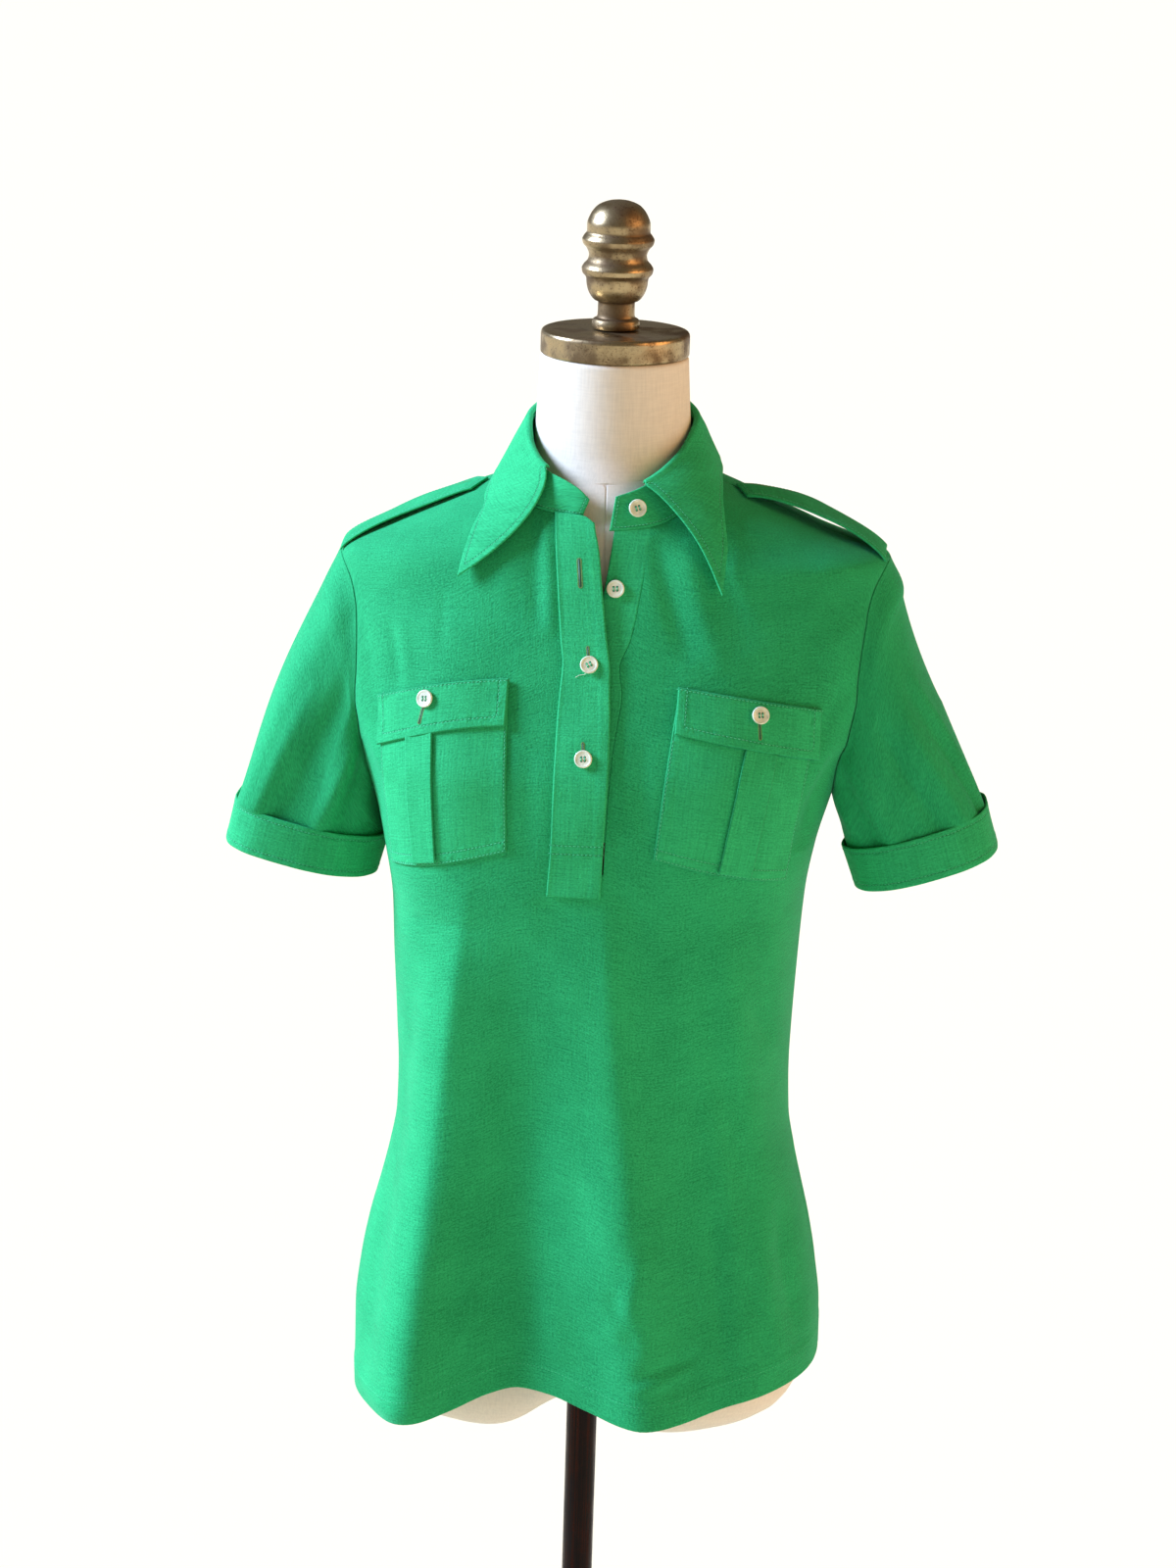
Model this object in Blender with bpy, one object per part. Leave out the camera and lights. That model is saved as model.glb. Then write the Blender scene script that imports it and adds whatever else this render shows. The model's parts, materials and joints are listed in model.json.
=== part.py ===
"""Short-sleeved popover shirt with a half placket, worn on a limbless dress form.

Sizes are millimetres until a mesh is made. X runs across the chest, Y from front
to back and Z up. The front faces -Y and the base rests on z = 0.
"""

import math
from collections import namedtuple

import bmesh
import bpy
import numpy as np

MM = 0.001

# --- cloth -------------------------------------------------------------------
SEAM = 0.3            # gap between pieces that are sewn together
JERSEY = 1.2          # one layer of body cloth
DOUBLE = 1.6          # two layers pressed flat: placket, stand, fall, strap
LIE = 0.7             # clear space between a panel and a piece that lies on it
STACK = 0.4           # clear space between pieces stacked on each other
LEAN = 0.025          # rise of the shoulders toward +X, mm per mm
LEAN_FADE = (1195.0, 1240.0)  # heights between which that rise dies away

# --- levels ------------------------------------------------------------------
HEM_Z = 540.0
HEM_BEND_Z = 700.0    # rows of the panels bend to the hem below this
UNDERARM_Z = 972.0
NECK_BEND_Z = 1105.0  # rows of the panels bend to the neckline above this
TIP_Z = 1137.0        # shoulder tip
SIDE_NECK_Z = 1192.0
NOTCH_Z = 942.0       # foot of the placket's slit in the front panel

# --- how finely the surfaces are measured and searched --------------------------
ANGLE_STEP = 0.8      # degrees, for normals
HEIGHT_STEP = 1.5
SEARCH_Z = (1060.0, 1209.0)
SEARCH_STEPS = 40

# Outside of the cloth. z, half width, centre x, front, back, front power, back power
CLOTH_SECTIONS = (
    (505.0, 166.0, 2.0, 112.0, 121.0, 2.6, 2.4),
    (540.0, 166.5, 2.0, 111.0, 121.0, 2.6, 2.4),
    (585.0, 166.5, 1.5, 108.0, 120.0, 2.5, 2.4),
    (620.0, 162.8, 1.0, 106.0, 117.0, 2.4, 2.3),
    (650.0, 157.3, 1.0, 105.0, 113.0, 2.4, 2.3),
    (680.0, 149.8, 1.2, 104.0, 108.0, 2.4, 2.3),
    (705.0, 144.0, 1.2, 104.0, 103.0, 2.4, 2.3),
    (735.0, 139.0, 1.0, 105.0, 98.0, 2.4, 2.3),
    (770.0, 138.0, 0.6, 107.0, 95.0, 2.4, 2.3),
    (800.0, 138.8, 0.4, 110.0, 94.0, 2.5, 2.3),
    (850.0, 140.8, 0.6, 116.0, 95.0, 2.6, 2.3),
    (900.0, 143.2, 1.4, 122.0, 99.0, 2.7, 2.3),
    (940.0, 149.2, 1.8, 127.0, 103.0, 2.8, 2.3),
    (972.0, 157.0, 2.8, 129.0, 106.0, 2.8, 2.3),
    (1000.0, 166.5, 2.5, 128.5, 109.0, 2.7, 2.3),
    (1030.0, 181.0, 3.0, 122.0, 110.0, 2.4, 2.3),
    (1054.0, 191.0, 3.0, 114.0, 110.0, 2.3, 2.3),
    (1095.0, 197.0, 3.5, 101.0, 107.5, 2.2, 2.2),
    (1126.0, 192.0, 4.0, 92.0, 104.0, 2.1, 2.1),
    (1137.0, 188.0, 4.0, 88.5, 102.0, 2.1, 2.1),
    (1157.0, 141.5, 3.5, 82.0, 96.5, 2.1, 2.1),
    (1177.0, 97.0, 3.0, 74.0, 87.0, 2.0, 2.1),
    (1192.0, 67.0, 2.5, 67.5, 77.0, 2.0, 2.1),
    (1210.0, 56.0, 2.0, 59.0, 69.0, 2.0, 2.1),
)

# Outside of the form: same columns
FORM_SECTIONS = (
    (560.0, 156.0, 1.5, 86.0, 106.0, 2.2, 2.1),
    (600.0, 158.5, 1.5, 89.0, 110.0, 2.1, 2.1),
    (640.0, 151.5, 1.0, 88.0, 105.0, 2.1, 2.1),
    (680.0, 141.0, 1.0, 86.0, 97.0, 2.1, 2.1),
    (720.0, 130.5, 0.8, 83.0, 87.0, 2.1, 2.1),
    (760.0, 122.5, 0.5, 81.0, 79.0, 2.1, 2.1),
    (800.0, 119.0, 0.3, 81.0, 75.0, 2.1, 2.1),
    (840.0, 120.0, 0.3, 84.0, 76.0, 2.1, 2.1),
    (880.0, 126.0, 0.6, 93.0, 81.0, 2.2, 2.1),
    (920.0, 134.0, 1.0, 106.0, 88.0, 2.4, 2.1),
    (960.0, 143.5, 1.5, 118.0, 95.0, 2.6, 2.1),
    (990.0, 151.0, 2.0, 122.0, 99.0, 2.6, 2.1),
    (1020.0, 160.0, 2.5, 117.0, 102.0, 2.4, 2.1),
    (1050.0, 167.0, 3.0, 108.0, 103.0, 2.2, 2.1),
    (1080.0, 172.0, 3.5, 98.0, 102.5, 2.1, 2.1),
    (1110.0, 177.0, 4.0, 90.0, 99.5, 2.1, 2.1),
    (1127.0, 179.5, 4.0, 85.5, 97.5, 2.1, 2.1),
    (1137.0, 175.0, 4.0, 82.5, 96.0, 2.1, 2.1),
    (1147.0, 156.5, 3.8, 79.5, 93.5, 2.1, 2.1),
    (1157.0, 135.0, 3.5, 76.5, 90.5, 2.1, 2.1),
    (1167.0, 112.5, 3.2, 73.0, 87.0, 2.1, 2.1),
    (1177.0, 90.5, 3.0, 69.0, 82.0, 2.0, 2.1),
    (1187.0, 69.0, 2.5, 62.5, 73.0, 2.0, 2.0),
    (1197.0, 58.5, 2.0, 57.5, 63.5, 2.0, 2.0),
    (1212.0, 53.8, 1.0, 53.5, 56.0, 2.0, 2.0),
    (1235.0, 52.0, 0.3, 51.8, 52.5, 2.0, 2.0),
    (1271.9, 50.0, 0.0, 50.0, 50.0, 2.0, 2.0),
)

FOLD_RUN = 1.2        # folds run on past their low point by this share
FOLD_SIDE_POWER = 10  # folds die away toward the side seams
# Vertical folds. top x, top z, low x, low z, reach, lift
FRONT_FOLDS = (
    (-82.0, 960.0, -120.0, 540.0, 30.0, 21.0),
    (-30.0, 900.0, -38.0, 540.0, 30.0, -13.0),
    (14.0, 930.0, 54.0, 540.0, 30.0, 15.0),
    (92.0, 950.0, 128.0, 600.0, 26.0, 5.0),
)
BACK_FOLDS = (
    (-70.0, 980.0, -98.0, 540.0, 30.0, 8.0),
    (-8.0, 900.0, -14.0, 540.0, 26.0, -6.0),
    (62.0, 960.0, 82.0, 540.0, 32.0, 9.0),
)

# Hem heights of the front. x at the hem, z
FRONT_HEM = (
    (-165.0, 526.0), (-140.0, 529.0), (-113.0, 533.0), (-85.0, 541.0), (-58.0, 552.0),
    (-37.0, 556.5), (-15.0, 555.0), (12.0, 548.0), (35.0, 541.5), (54.0, 539.0),
    (78.0, 541.0), (115.0, 550.0), (147.0, 555.0), (168.0, 557.0),
)
# Hem heights of the back. x at the hem, z
BACK_HEM = ((-165.0, 526.0), (-90.0, 538.0), (0.0, 546.0), (90.0, 550.0), (168.0, 557.0))

# Top edge of the body panels. angle from the centre front, z
NECKLINE = (
    (-180.0, 1206.0), (-130.0, 1201.0), (-90.0, 1192.0), (-65.0, 1190.0), (-46.0, 1185.5),
    (-30.0, 1180.5), (-17.0, 1177.3), (-6.0, 1175.5), (3.0, 1167.5), (15.0, 1169.5),
    (30.0, 1176.0), (46.0, 1184.5), (65.0, 1189.5), (90.0, 1192.0),
    (130.0, 1201.0), (180.0, 1206.0),
)

# Placket opening. z, left seam x, over-placket right edge x, right seam x
PLACKET_LINES = (
    (927.5, -24.0, 12.5, 13.5),
    (965.0, -21.8, 13.5, 14.5),
    (1015.0, -21.2, 15.2, 16.5),
    (1045.0, -21.0, 14.5, 19.5),
    (1062.0, -20.5, 13.4, 21.0),
    (1078.0, -19.5, 12.6, 23.0),
    (1100.0, -22.0, 9.0, 26.0),
    (1130.0, -25.5, 4.5, 30.5),
    (1158.0, -28.5, 0.5, 34.0),
    (1182.0, -30.5, -3.5, 36.0),
)


def curve(xs, ys):
    """Return a smooth function through the given points that never overshoots them."""
    xs = np.asarray(xs, float)
    ys = np.asarray(ys, float)
    step = np.diff(xs)
    slope = np.diff(ys) / step
    tangent = np.zeros_like(ys)
    tangent[0] = slope[0]
    tangent[-1] = slope[-1]
    product = slope[:-1] * slope[1:]
    total = slope[:-1] + slope[1:]
    safe = np.where(product > 0, total, 1.0)
    tangent[1:-1] = np.where(product > 0, 2 * product / safe, 0.0)

    def value(x):
        x = np.clip(np.asarray(x, float), xs[0], xs[-1])
        i = np.clip(np.searchsorted(xs, x, side="right") - 1, 0, len(step) - 1)
        t = (x - xs[i]) / step[i]
        rise = (3 - 2 * t) * t * t
        start = t * (1 - t) ** 2
        end = t * t * (t - 1)
        bend = tangent[i] * start + tangent[i + 1] * end
        return ys[i] + (ys[i + 1] - ys[i]) * rise + step[i] * bend

    return value


def column(rows, index):
    """Return a curve of one column of a table over its first column."""
    table = np.array(rows, float)
    return curve(table[:, 0], table[:, index])


def lean(x, z):
    """Return the rise that the leaning shoulders give a point."""
    fade = np.clip((LEAN_FADE[1] - z) / (LEAN_FADE[1] - LEAN_FADE[0]), 0.0, 1.0)
    return LEAN * x * fade * fade * (3 - 2 * fade)


class Skin:
    """A closed surface through level super-ellipse sections, with folds."""

    def __init__(self, rows, front_folds=(), back_folds=()):
        self.width = column(rows, 1)
        self.centre = column(rows, 2)
        self.front = column(rows, 3)
        self.back = column(rows, 4)
        self.front_power = column(rows, 5)
        self.back_power = column(rows, 6)
        self.front_folds = front_folds
        self.back_folds = back_folds

    def fold_lift(self, x, z, share, folds):
        """Return how far the folds push the surface out at x, z."""
        lift = np.zeros(np.broadcast(x, z).shape)
        for top_x, top_z, low_x, low_z, reach, height in folds:
            t = np.clip((top_z - z) / (top_z - low_z), 0.0, FOLD_RUN)
            ramp = np.clip(t, 0.0, 1.0)
            grown = ramp * ramp * (3 - 2 * ramp)
            across = (x - top_x - (low_x - top_x) * t) / reach
            lift = lift + height * grown * np.exp(-across * across)
        return lift * (1 - np.abs(share) ** FOLD_SIDE_POWER)

    def point(self, angle, z):
        """Return the point at an angle in degrees from the centre front and a height."""
        turn = np.radians(angle)
        s = np.sin(turn)
        c = np.cos(turn)
        ahead = c >= 0
        power = np.where(ahead, self.front_power(z), self.back_power(z))
        depth = np.where(ahead, self.front(z), self.back(z))
        share = np.sign(s) * np.abs(s) ** (2 / power)
        x = self.centre(z) + self.width(z) * share
        y = depth * np.abs(c) ** (2 / power)
        lift = np.where(ahead, self.fold_lift(x, z, share, self.front_folds),
                        self.fold_lift(x, z, share, self.back_folds))
        y = np.where(ahead, -y - lift, y + lift)
        return np.stack([x, y, z + lean(x, z)], axis=-1)

    def normal(self, angle, z):
        """Return the outward normal at an angle and a height."""
        across = self.point(angle + ANGLE_STEP, z) - self.point(angle - ANGLE_STEP, z)
        upward = self.point(angle, z + HEIGHT_STEP) - self.point(angle, z - HEIGHT_STEP)
        return unit(np.cross(across, upward))

    def angle_at_x(self, x, z):
        """Return the angle of the front point at x."""
        share = np.clip((x - self.centre(z)) / self.width(z), -1.0, 1.0)
        turn = np.arcsin(np.abs(share) ** (self.front_power(z) / 2))
        return np.degrees(np.sign(share) * turn)

    def angle_at_y(self, y, z):
        """Return the angle, without its sign, of the point at depth y before folds."""
        front = (np.abs(y) / self.front(z)) ** (self.front_power(z) / 2)
        back = (np.abs(y) / self.back(z)) ** (self.back_power(z) / 2)
        ahead = np.degrees(np.arccos(np.clip(front, 0.0, 1.0)))
        behind = 180.0 - np.degrees(np.arccos(np.clip(back, 0.0, 1.0)))
        return np.where(y <= 0, ahead, behind)


def unit(vectors):
    """Return the vectors scaled to length one."""
    length = np.linalg.norm(vectors, axis=-1, keepdims=True)
    return vectors / np.maximum(length, 1e-9)


CLOTH = Skin(CLOTH_SECTIONS, FRONT_FOLDS, BACK_FOLDS)
FORM = Skin(FORM_SECTIONS)


# --- the armholes and sleeves --------------------------------------------------
ARM_STEPS = 12        # bands from the underarm to the shoulder tip, front or back
ARM_POWER = 0.8       # fullness of the armhole's curve
SLEEVE_BANDS = 9
SLEEVE_FORWARD = 3.0  # fullness at the front and back of a sleeve
SWELL_POWER = 1.6
SWELL_UP = 0.3        # upward share of the outward fullness
BAND_HEIGHT = 30.5    # turned-up band
BAND_MIDDLE = 15.0
BAND_TUCK = 4.0       # the sleeve's end above the foot of its band
BAND_CLEAR = 0.6      # sleeve to band

# front and back: depths of the armhole. x, y, z, half_width, half_depth: the top of
# the band. rise: its slant, mm per mm outward. fullness: of the sleeve half way down
Sleeve = namedtuple("Sleeve", "name side front back x y z half_width half_depth rise fullness")
SLEEVES = (
    Sleeve("L", -1.0, 64.0, 58.0, -199.5, -8.0, 949.0, 52.5, 46.0, 0.255, 1.5),
    Sleeve("R", 1.0, 58.0, 58.0, 217.5, -8.0, 953.0, 48.5, 46.0, 0.330, -3.0),
)

# --- the collar ----------------------------------------------------------------
# Top of the stand, from the left front end round the back. x, y, z
STAND_TOP = (
    (-7.5, -74.0, 1188.0), (-15.0, -71.5, 1194.5), (-25.0, -67.0, 1199.5),
    (-39.0, -56.0, 1204.5), (-52.0, -28.0, 1216.5), (-55.3, 0.0, 1227.0),
    (-41.5, 40.0, 1234.0), (0.5, 57.5, 1237.0), (42.0, 40.0, 1235.0),
    (56.3, 0.0, 1228.0), (51.5, -30.0, 1216.0), (37.0, -58.0, 1202.0),
    (24.0, -68.5, 1195.0), (10.0, -75.0, 1190.5),
)
# Angles of the same stations on the neckline
STAND_ANGLE = (
    -6.0, -10.5, -17.5, -31.5, -61.0, -90.0, -136.0, -180.0,
    -225.0, -270.0, -304.0, -335.5, -346.5, -356.7,
)
# Lower edge of the fall. station on the stand's top, x, y, z, and how far the leaf
# bows at mid depth in x, y, z
FALL_EDGE = (
    (2.85, -92.5, -84.0, 1135.5, 13.0, -3.0, -2.0), (3.2, -90.0, -70.0, 1154.0, 8.0, -2.5, -1.5),
    (3.7, -84.5, -50.0, 1172.0, 3.0, -1.0, 0.0), (4.5, -80.5, -14.0, 1187.0, 0.0, 0.0, 0.0),
    (5.3, -71.5, 30.0, 1193.5, 0.0, 0.0, 0.0), (6.0, -50.0, 66.0, 1197.0, 0.0, 0.0, 0.0),
    (7.0, 0.5, 84.0, 1198.0, 0.0, 0.0, 0.0), (8.0, 52.0, 66.0, 1198.0, 0.0, 0.0, 0.0),
    (8.7, 72.5, 30.0, 1195.0, 0.0, 0.0, 0.0), (9.5, 77.5, -14.0, 1191.0, 0.0, 0.0, 0.0),
    (10.3, 80.5, -50.0, 1177.0, 1.0, 0.0, 0.5), (10.8, 85.5, -75.0, 1153.0, 3.0, 0.0, 1.0),
    (11.15, 84.0, -90.0, 1127.5, 5.0, -1.0, 2.0),
)
FOLD_RADIUS = 2.7     # half the thickness of the collar at its fold
FOLD_TURNS = (180.0, 115.0, 55.0)   # degrees round the fold, from the stand outward
FALL_OUT = 0.2        # fall past the fold
FALL_SHARES = (0.0, 0.2, 0.42, 0.7, 1.0)   # rows of the fall, shares of its depth
FALL_COLUMNS = 34
NECK_CENTRE = (0.5, -2.0)
STAND_COLUMNS = 30
STAND_LIFT = 0.8      # stand above the neckline seam
STAND_DROP = 1.2      # stand's top below the fold
STAND_BUTTON_AT = 12.1     # station of its button
STATION_STEP = 0.2

# --- the placket, pockets and straps -------------------------------------------
OVER_LAP = 3.0        # over-placket past the slit of the panel
SLIT_LEFT = -15.0     # x at the hem, and angle at the neck, of the slit's left side
SLIT_RIGHT = 12.0
UNDER_SHOWN = 25.0    # under-placket past its seam
UNDER_GAP = 0.9       # under-placket to the slit of the panel
UNDER_SINK = 0.1      # under-placket below the cloth's outside
UNDER_CLEAR = 1.0
PLACKET_ROWS = (927.5, 946.0, 966.0, 985.0, 1005.0, 1025.0, 1045.0, 1062.0, 1078.0, 1092.0,
                1106.0, 1120.0, 1134.0, 1147.0, 1159.0, 1170.0, 1179.0)
UNDER_FIRST_ROW = 2
# Corners on the front, from the centre out. inner top, outer top, inner low, outer low
POCKETS = {
    "L": ((-54.8, 1069.5), (-143.5, 1050.0), (-51.0, 957.5), (-132.5, 933.5)),
    "R": ((58.6, 1067.0), (150.5, 1048.5), (46.8, 955.0), (131.8, 931.0)),
}
FLAPS = {
    "L": ((-54.0, 1071.0), (-144.5, 1051.5), (-54.5, 1040.5), (-141.5, 1018.0)),
    "R": ((57.8, 1068.5), (151.5, 1050.0), (57.0, 1038.5), (150.0, 1015.5)),
}
PLEATS = {
    "L": ((-101.5, 1027.3), (-120.5, 1022.4), (-96.5, 955.5), (-112.5, 949.5)),
    "R": ((103.0, 1026.1), (123.5, 1021.1), (88.5, 948.0), (109.0, 942.0)),
}
# x at the sleeve and at the neck, and the strap's rise at mid length
Strap = namedtuple("Strap", "name sleeve_x neck_x rise")
STRAPS = (Strap("L", -180.5, -83.0, 8.5), Strap("R", 188.0, 84.5, 10.5))
STRAP_HALF_WIDTH = 18.0
STRAP_LIE = 0.4       # clear space under the ends of a strap
STRAP_POINT = 9.0     # length of the strap's tapered end
STRAP_CENTRE_Y = -2.0
STRAP_ARCH_POWER = 0.8
STRAP_COLUMNS = 8
STRAP_CELLS = 4

# --- buttons ---------------------------------------------------------------------
BUTTON_RADIUS = 6.0
BUTTON_HEIGHT = 2.4
BUTTON_HOLE = 0.95    # radius
BUTTON_HOLE_OUT = 1.65
BUTTON_SIDES = 14
HOLE_SIDES = 5
HOLES = 4
# Outline of half a button. share of the radius, share of the height
BUTTON_PROFILE = ((0.70, 0.0), (1.0, 0.45), (0.93, 1.0), (0.74, 0.72))

# --- the stand ---------------------------------------------------------------------
POLE_RADIUS = 11.0
POLE_FIT = 0.4
POLE_FOOT_Z = 14.4
POLE_TOP_GAP = 1.0
SOCKET_TOP_Z = 610.0
SOCKET_FLOOR_Z = 540.0
LOBE_Z = 505.0        # lowest of the two rounded ends of the form
ARCH_REACH = 36.0
CAP_RADIUS = 50.3
CAP_LOW_Z = 1272.2
CAP_TOP_Z = 1288.6

# Turned profiles. radius, z
CAP_PROFILE = (
    (49.4, CAP_LOW_Z), (CAP_RADIUS, 1273.2), (CAP_RADIUS, 1286.0), (49.5, 1287.9),
    (47.6, CAP_TOP_Z),
)
FINIAL_PROFILE = (
    (12.0, 1288.9), (15.4, 1289.6), (16.2, 1292.5), (15.4, 1295.6), (13.0, 1297.2),
    (12.5, 1299.5), (12.4, 1307.0), (15.5, 1309.0), (18.8, 1313.5), (20.4, 1318.5),
    (21.0, 1323.5), (23.6, 1327.0), (24.1, 1329.8), (22.8, 1332.4), (20.2, 1335.5),
    (19.5, 1339.0), (20.9, 1343.0), (23.8, 1346.6), (24.3, 1349.2), (23.0, 1351.8),
    (21.3, 1354.6), (21.3, 1359.5), (19.0, 1366.0), (13.5, 1372.3), (5.5, 1375.6),
)
BASE_PROFILE = (
    (168.0, 0.0), (170.0, 1.5), (170.0, 9.0), (167.0, 12.0), (60.0, 15.0),
    (26.0, 17.0), (24.0, 20.0), (24.0, 40.0), (22.0, 42.0), (11.4, 42.0), (11.4, 14.0),
)

# --- colours, linear red, green, blue, with roughness and metallic -----------------
GREEN = ((0.006, 0.32, 0.078), 0.85, 0.0)
WOVEN_GREEN = ((0.008, 0.29, 0.078), 0.85, 0.0)
LINEN = ((0.80, 0.72, 0.62), 0.9, 0.0)
BRASS = ((0.30, 0.22, 0.11), 0.30, 1.0)
BRONZE = ((0.075, 0.055, 0.045), 0.35, 0.9)
PEARL = ((0.78, 0.80, 0.62), 0.3, 0.0)


def material(name, finish):
    """Return a Principled material with a base colour, roughness and metallic."""
    colour, roughness, metallic = finish
    made = bpy.data.materials.new(name)
    made.use_nodes = True
    shader = made.node_tree.nodes["Principled BSDF"]
    shader.inputs["Base Color"].default_value = (*colour, 1.0)
    shader.inputs["Roughness"].default_value = roughness
    shader.inputs["Metallic"].default_value = metallic
    made.diffuse_color = (*colour, 1.0)
    return made


def mesh_object(name, verts, faces, finish):
    """Make a smooth-shaded object from points in millimetres."""
    mesh = bpy.data.meshes.new(name)
    mesh.from_pydata([tuple(float(c) * MM for c in v) for v in verts], [], faces)
    work = bmesh.new()
    work.from_mesh(mesh)
    bmesh.ops.recalc_face_normals(work, faces=work.faces)
    work.to_mesh(mesh)
    work.free()
    made = bpy.data.objects.new(name, mesh)
    bpy.context.scene.collection.objects.link(made)
    mesh.materials.append(material(name, finish))
    for polygon in mesh.polygons:
        polygon.use_smooth = True


def wall(name, outer, inner, finish, ring=False, cut=None):
    """Close two matching grids of points into a thin wall.

    A ring joins the last column to the first. cut marks the cells left open.
    """
    rows, columns = outer.shape[:2]
    cells = []
    spans = columns if ring else columns - 1
    for i in range(rows - 1):
        for j in range(spans):
            if cut is None or not cut[i, j]:
                k = (j + 1) % columns
                here = i * columns
                below = here + columns
                cells.append((here + j, here + k, below + k, below + j))
    edges = {(a, b) for cell in cells for a, b in zip(cell, cell[1:] + cell[:1])}
    rim = [(a, b) for a, b in sorted(edges) if (b, a) not in edges]
    used = sorted({corner for cell in cells for corner in cell})
    slot = {corner: n for n, corner in enumerate(used)}
    half = len(used)
    points = np.concatenate([outer.reshape(-1, 3)[used], inner.reshape(-1, 3)[used]])
    faces = [tuple(slot[c] for c in cell) for cell in cells]
    faces += [tuple(slot[c] + half for c in reversed(cell)) for cell in cells]
    faces += [(slot[b], slot[a], slot[a] + half, slot[b] + half) for a, b in rim]
    mesh_object(name, points, faces, finish)


def grid_normals(points, ring=False):
    """Return the normals of a grid of points."""
    down = np.gradient(points, axis=0)
    if ring:
        across = (np.roll(points, -1, axis=1) - np.roll(points, 1, axis=1)) / 2
    else:
        across = np.gradient(points, axis=1)
    return unit(np.cross(across, down))


def spaced(start, end, count):
    """Return count + 1 values from start to end."""
    return np.linspace(start, end, count + 1)


# --- the body panels ---------------------------------------------------------------
BELOW = (540.0, 562.0, 588.0, 617.0, 648.0, 680.0, 712.0, 745.0, 779.0, 813.0, 847.0, 880.0,
         911.0, 942.0, 958.0)
ABOVE = (1147.0, 1157.0, 1167.0, 1177.0, 1186.0, 1192.0)
SIDE_CELLS = 11
SLIT_CELLS = 3
BACK_CELLS = 20


def arm_levels():
    """Return the heights of the armhole's stations, from the underarm up."""
    turn = np.radians(spaced(0.0, 180.0, ARM_STEPS))
    middle = (UNDERARM_Z + TIP_Z) / 2
    return middle - (TIP_Z - UNDERARM_Z) / 2 * np.cos(turn)


def arm_depth(depth):
    """Return the distance of the armhole's stations from the side line."""
    turn = np.radians(spaced(0.0, 180.0, ARM_STEPS))
    return depth * np.clip(np.sin(turn), 0.0, 1.0) ** ARM_POWER


def levels():
    """Return the heights of the rows of a body panel at its side edge."""
    return np.concatenate([BELOW, arm_levels(), ABOVE])


def edge_angles(depth, back):
    """Return the angle of a panel's side edge for every row, from the armhole's depth."""
    rows = levels()
    angles = np.full(len(rows), 90.0)
    arm = arm_levels()
    y = arm_depth(depth) * (1.0 if back else -1.0)
    first = len(BELOW)
    angles[first + 1:first + ARM_STEPS] = CLOTH.angle_at_y(y[1:-1], arm[1:-1])
    return angles


def row_heights(side_z, hem_z, top_z):
    """Bend the level rows to meet the hem and the neckline of one column."""
    low = np.clip((HEM_BEND_Z - side_z) / (HEM_BEND_Z - HEM_Z), 0.0, 1.0)
    high = np.clip((side_z - NECK_BEND_Z) / (SIDE_NECK_Z - NECK_BEND_Z), 0.0, 1.0)
    return side_z + (hem_z - HEM_Z) * low + (top_z - SIDE_NECK_Z) * high


def panel(angles, hem_table, name, cut=None):
    """Build a body panel from the angle of every row and column."""
    rows, columns = angles.shape
    hem = column(hem_table, 1)
    hem_x = CLOTH.point(angles[0], np.full(columns, HEM_Z))[:, 0]
    top = column(NECKLINE, 1)(wrapped(angles[-1]))
    side = levels()
    z = np.stack([row_heights(side, hem(x), t) for x, t in zip(hem_x, top)], axis=1)
    outer = CLOTH.point(angles, z)
    normals = CLOTH.normal(angles, z)
    seam = np.isclose(np.abs(np.cos(np.radians(angles))), 0.0, atol=1e-6)
    direction = -1.0 if np.cos(np.radians(angles[0, columns // 2])) > 0 else 1.0
    outer[..., 1] += np.where(seam, direction * SEAM / 2, 0.0)
    normals[..., 1] = np.where(seam, 0.0, normals[..., 1])
    inner = outer - unit(normals) * JERSEY
    wall(name, outer, inner, GREEN, cut=cut)


def wrapped(angle):
    """Return an angle between -180 and 180 degrees."""
    return (np.asarray(angle) + 180.0) % 360.0 - 180.0


def slit_angles(line, shift, place):
    """Return the angle of one side of the placket's slit for every row."""
    top = float(column(NECKLINE, 1)(place))
    hem = float(column(FRONT_HEM, 1)(place))
    z = row_heights(levels(), hem, top)
    return CLOTH.angle_at_x(column(PLACKET_LINES, line)(z) + shift, z)


def front_panel():
    """Build the front with its placket slit."""
    left = -edge_angles(SLEEVES[0].front, False)
    right = edge_angles(SLEEVES[1].front, False)
    slit_left = slit_angles(1, OVER_LAP, SLIT_LEFT)
    slit_right = slit_angles(3, 0.0, SLIT_RIGHT)
    rows = []
    for a, b, c, d in zip(left, slit_left, slit_right, right):
        spans = (spaced(a, b, SIDE_CELLS)[:-1], spaced(b, c, SLIT_CELLS)[:-1], spaced(c, d, SIDE_CELLS))
        rows.append(np.concatenate(spans))
    angles = np.array(rows)
    cut = np.zeros((angles.shape[0] - 1, angles.shape[1] - 1), bool)
    first = int(np.searchsorted(levels(), NOTCH_Z))
    cut[first:, SIDE_CELLS:SIDE_CELLS + SLIT_CELLS] = True
    panel(angles, FRONT_HEM, "front_panel", cut)


def back_panel():
    """Build the back in one piece."""
    right = edge_angles(SLEEVES[1].back, True)
    left = 360.0 - edge_angles(SLEEVES[0].back, True)
    angles = np.array([spaced(a, b, BACK_CELLS) for a, b in zip(right, left)])
    panel(angles, BACK_HEM, "back_panel")


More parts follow.
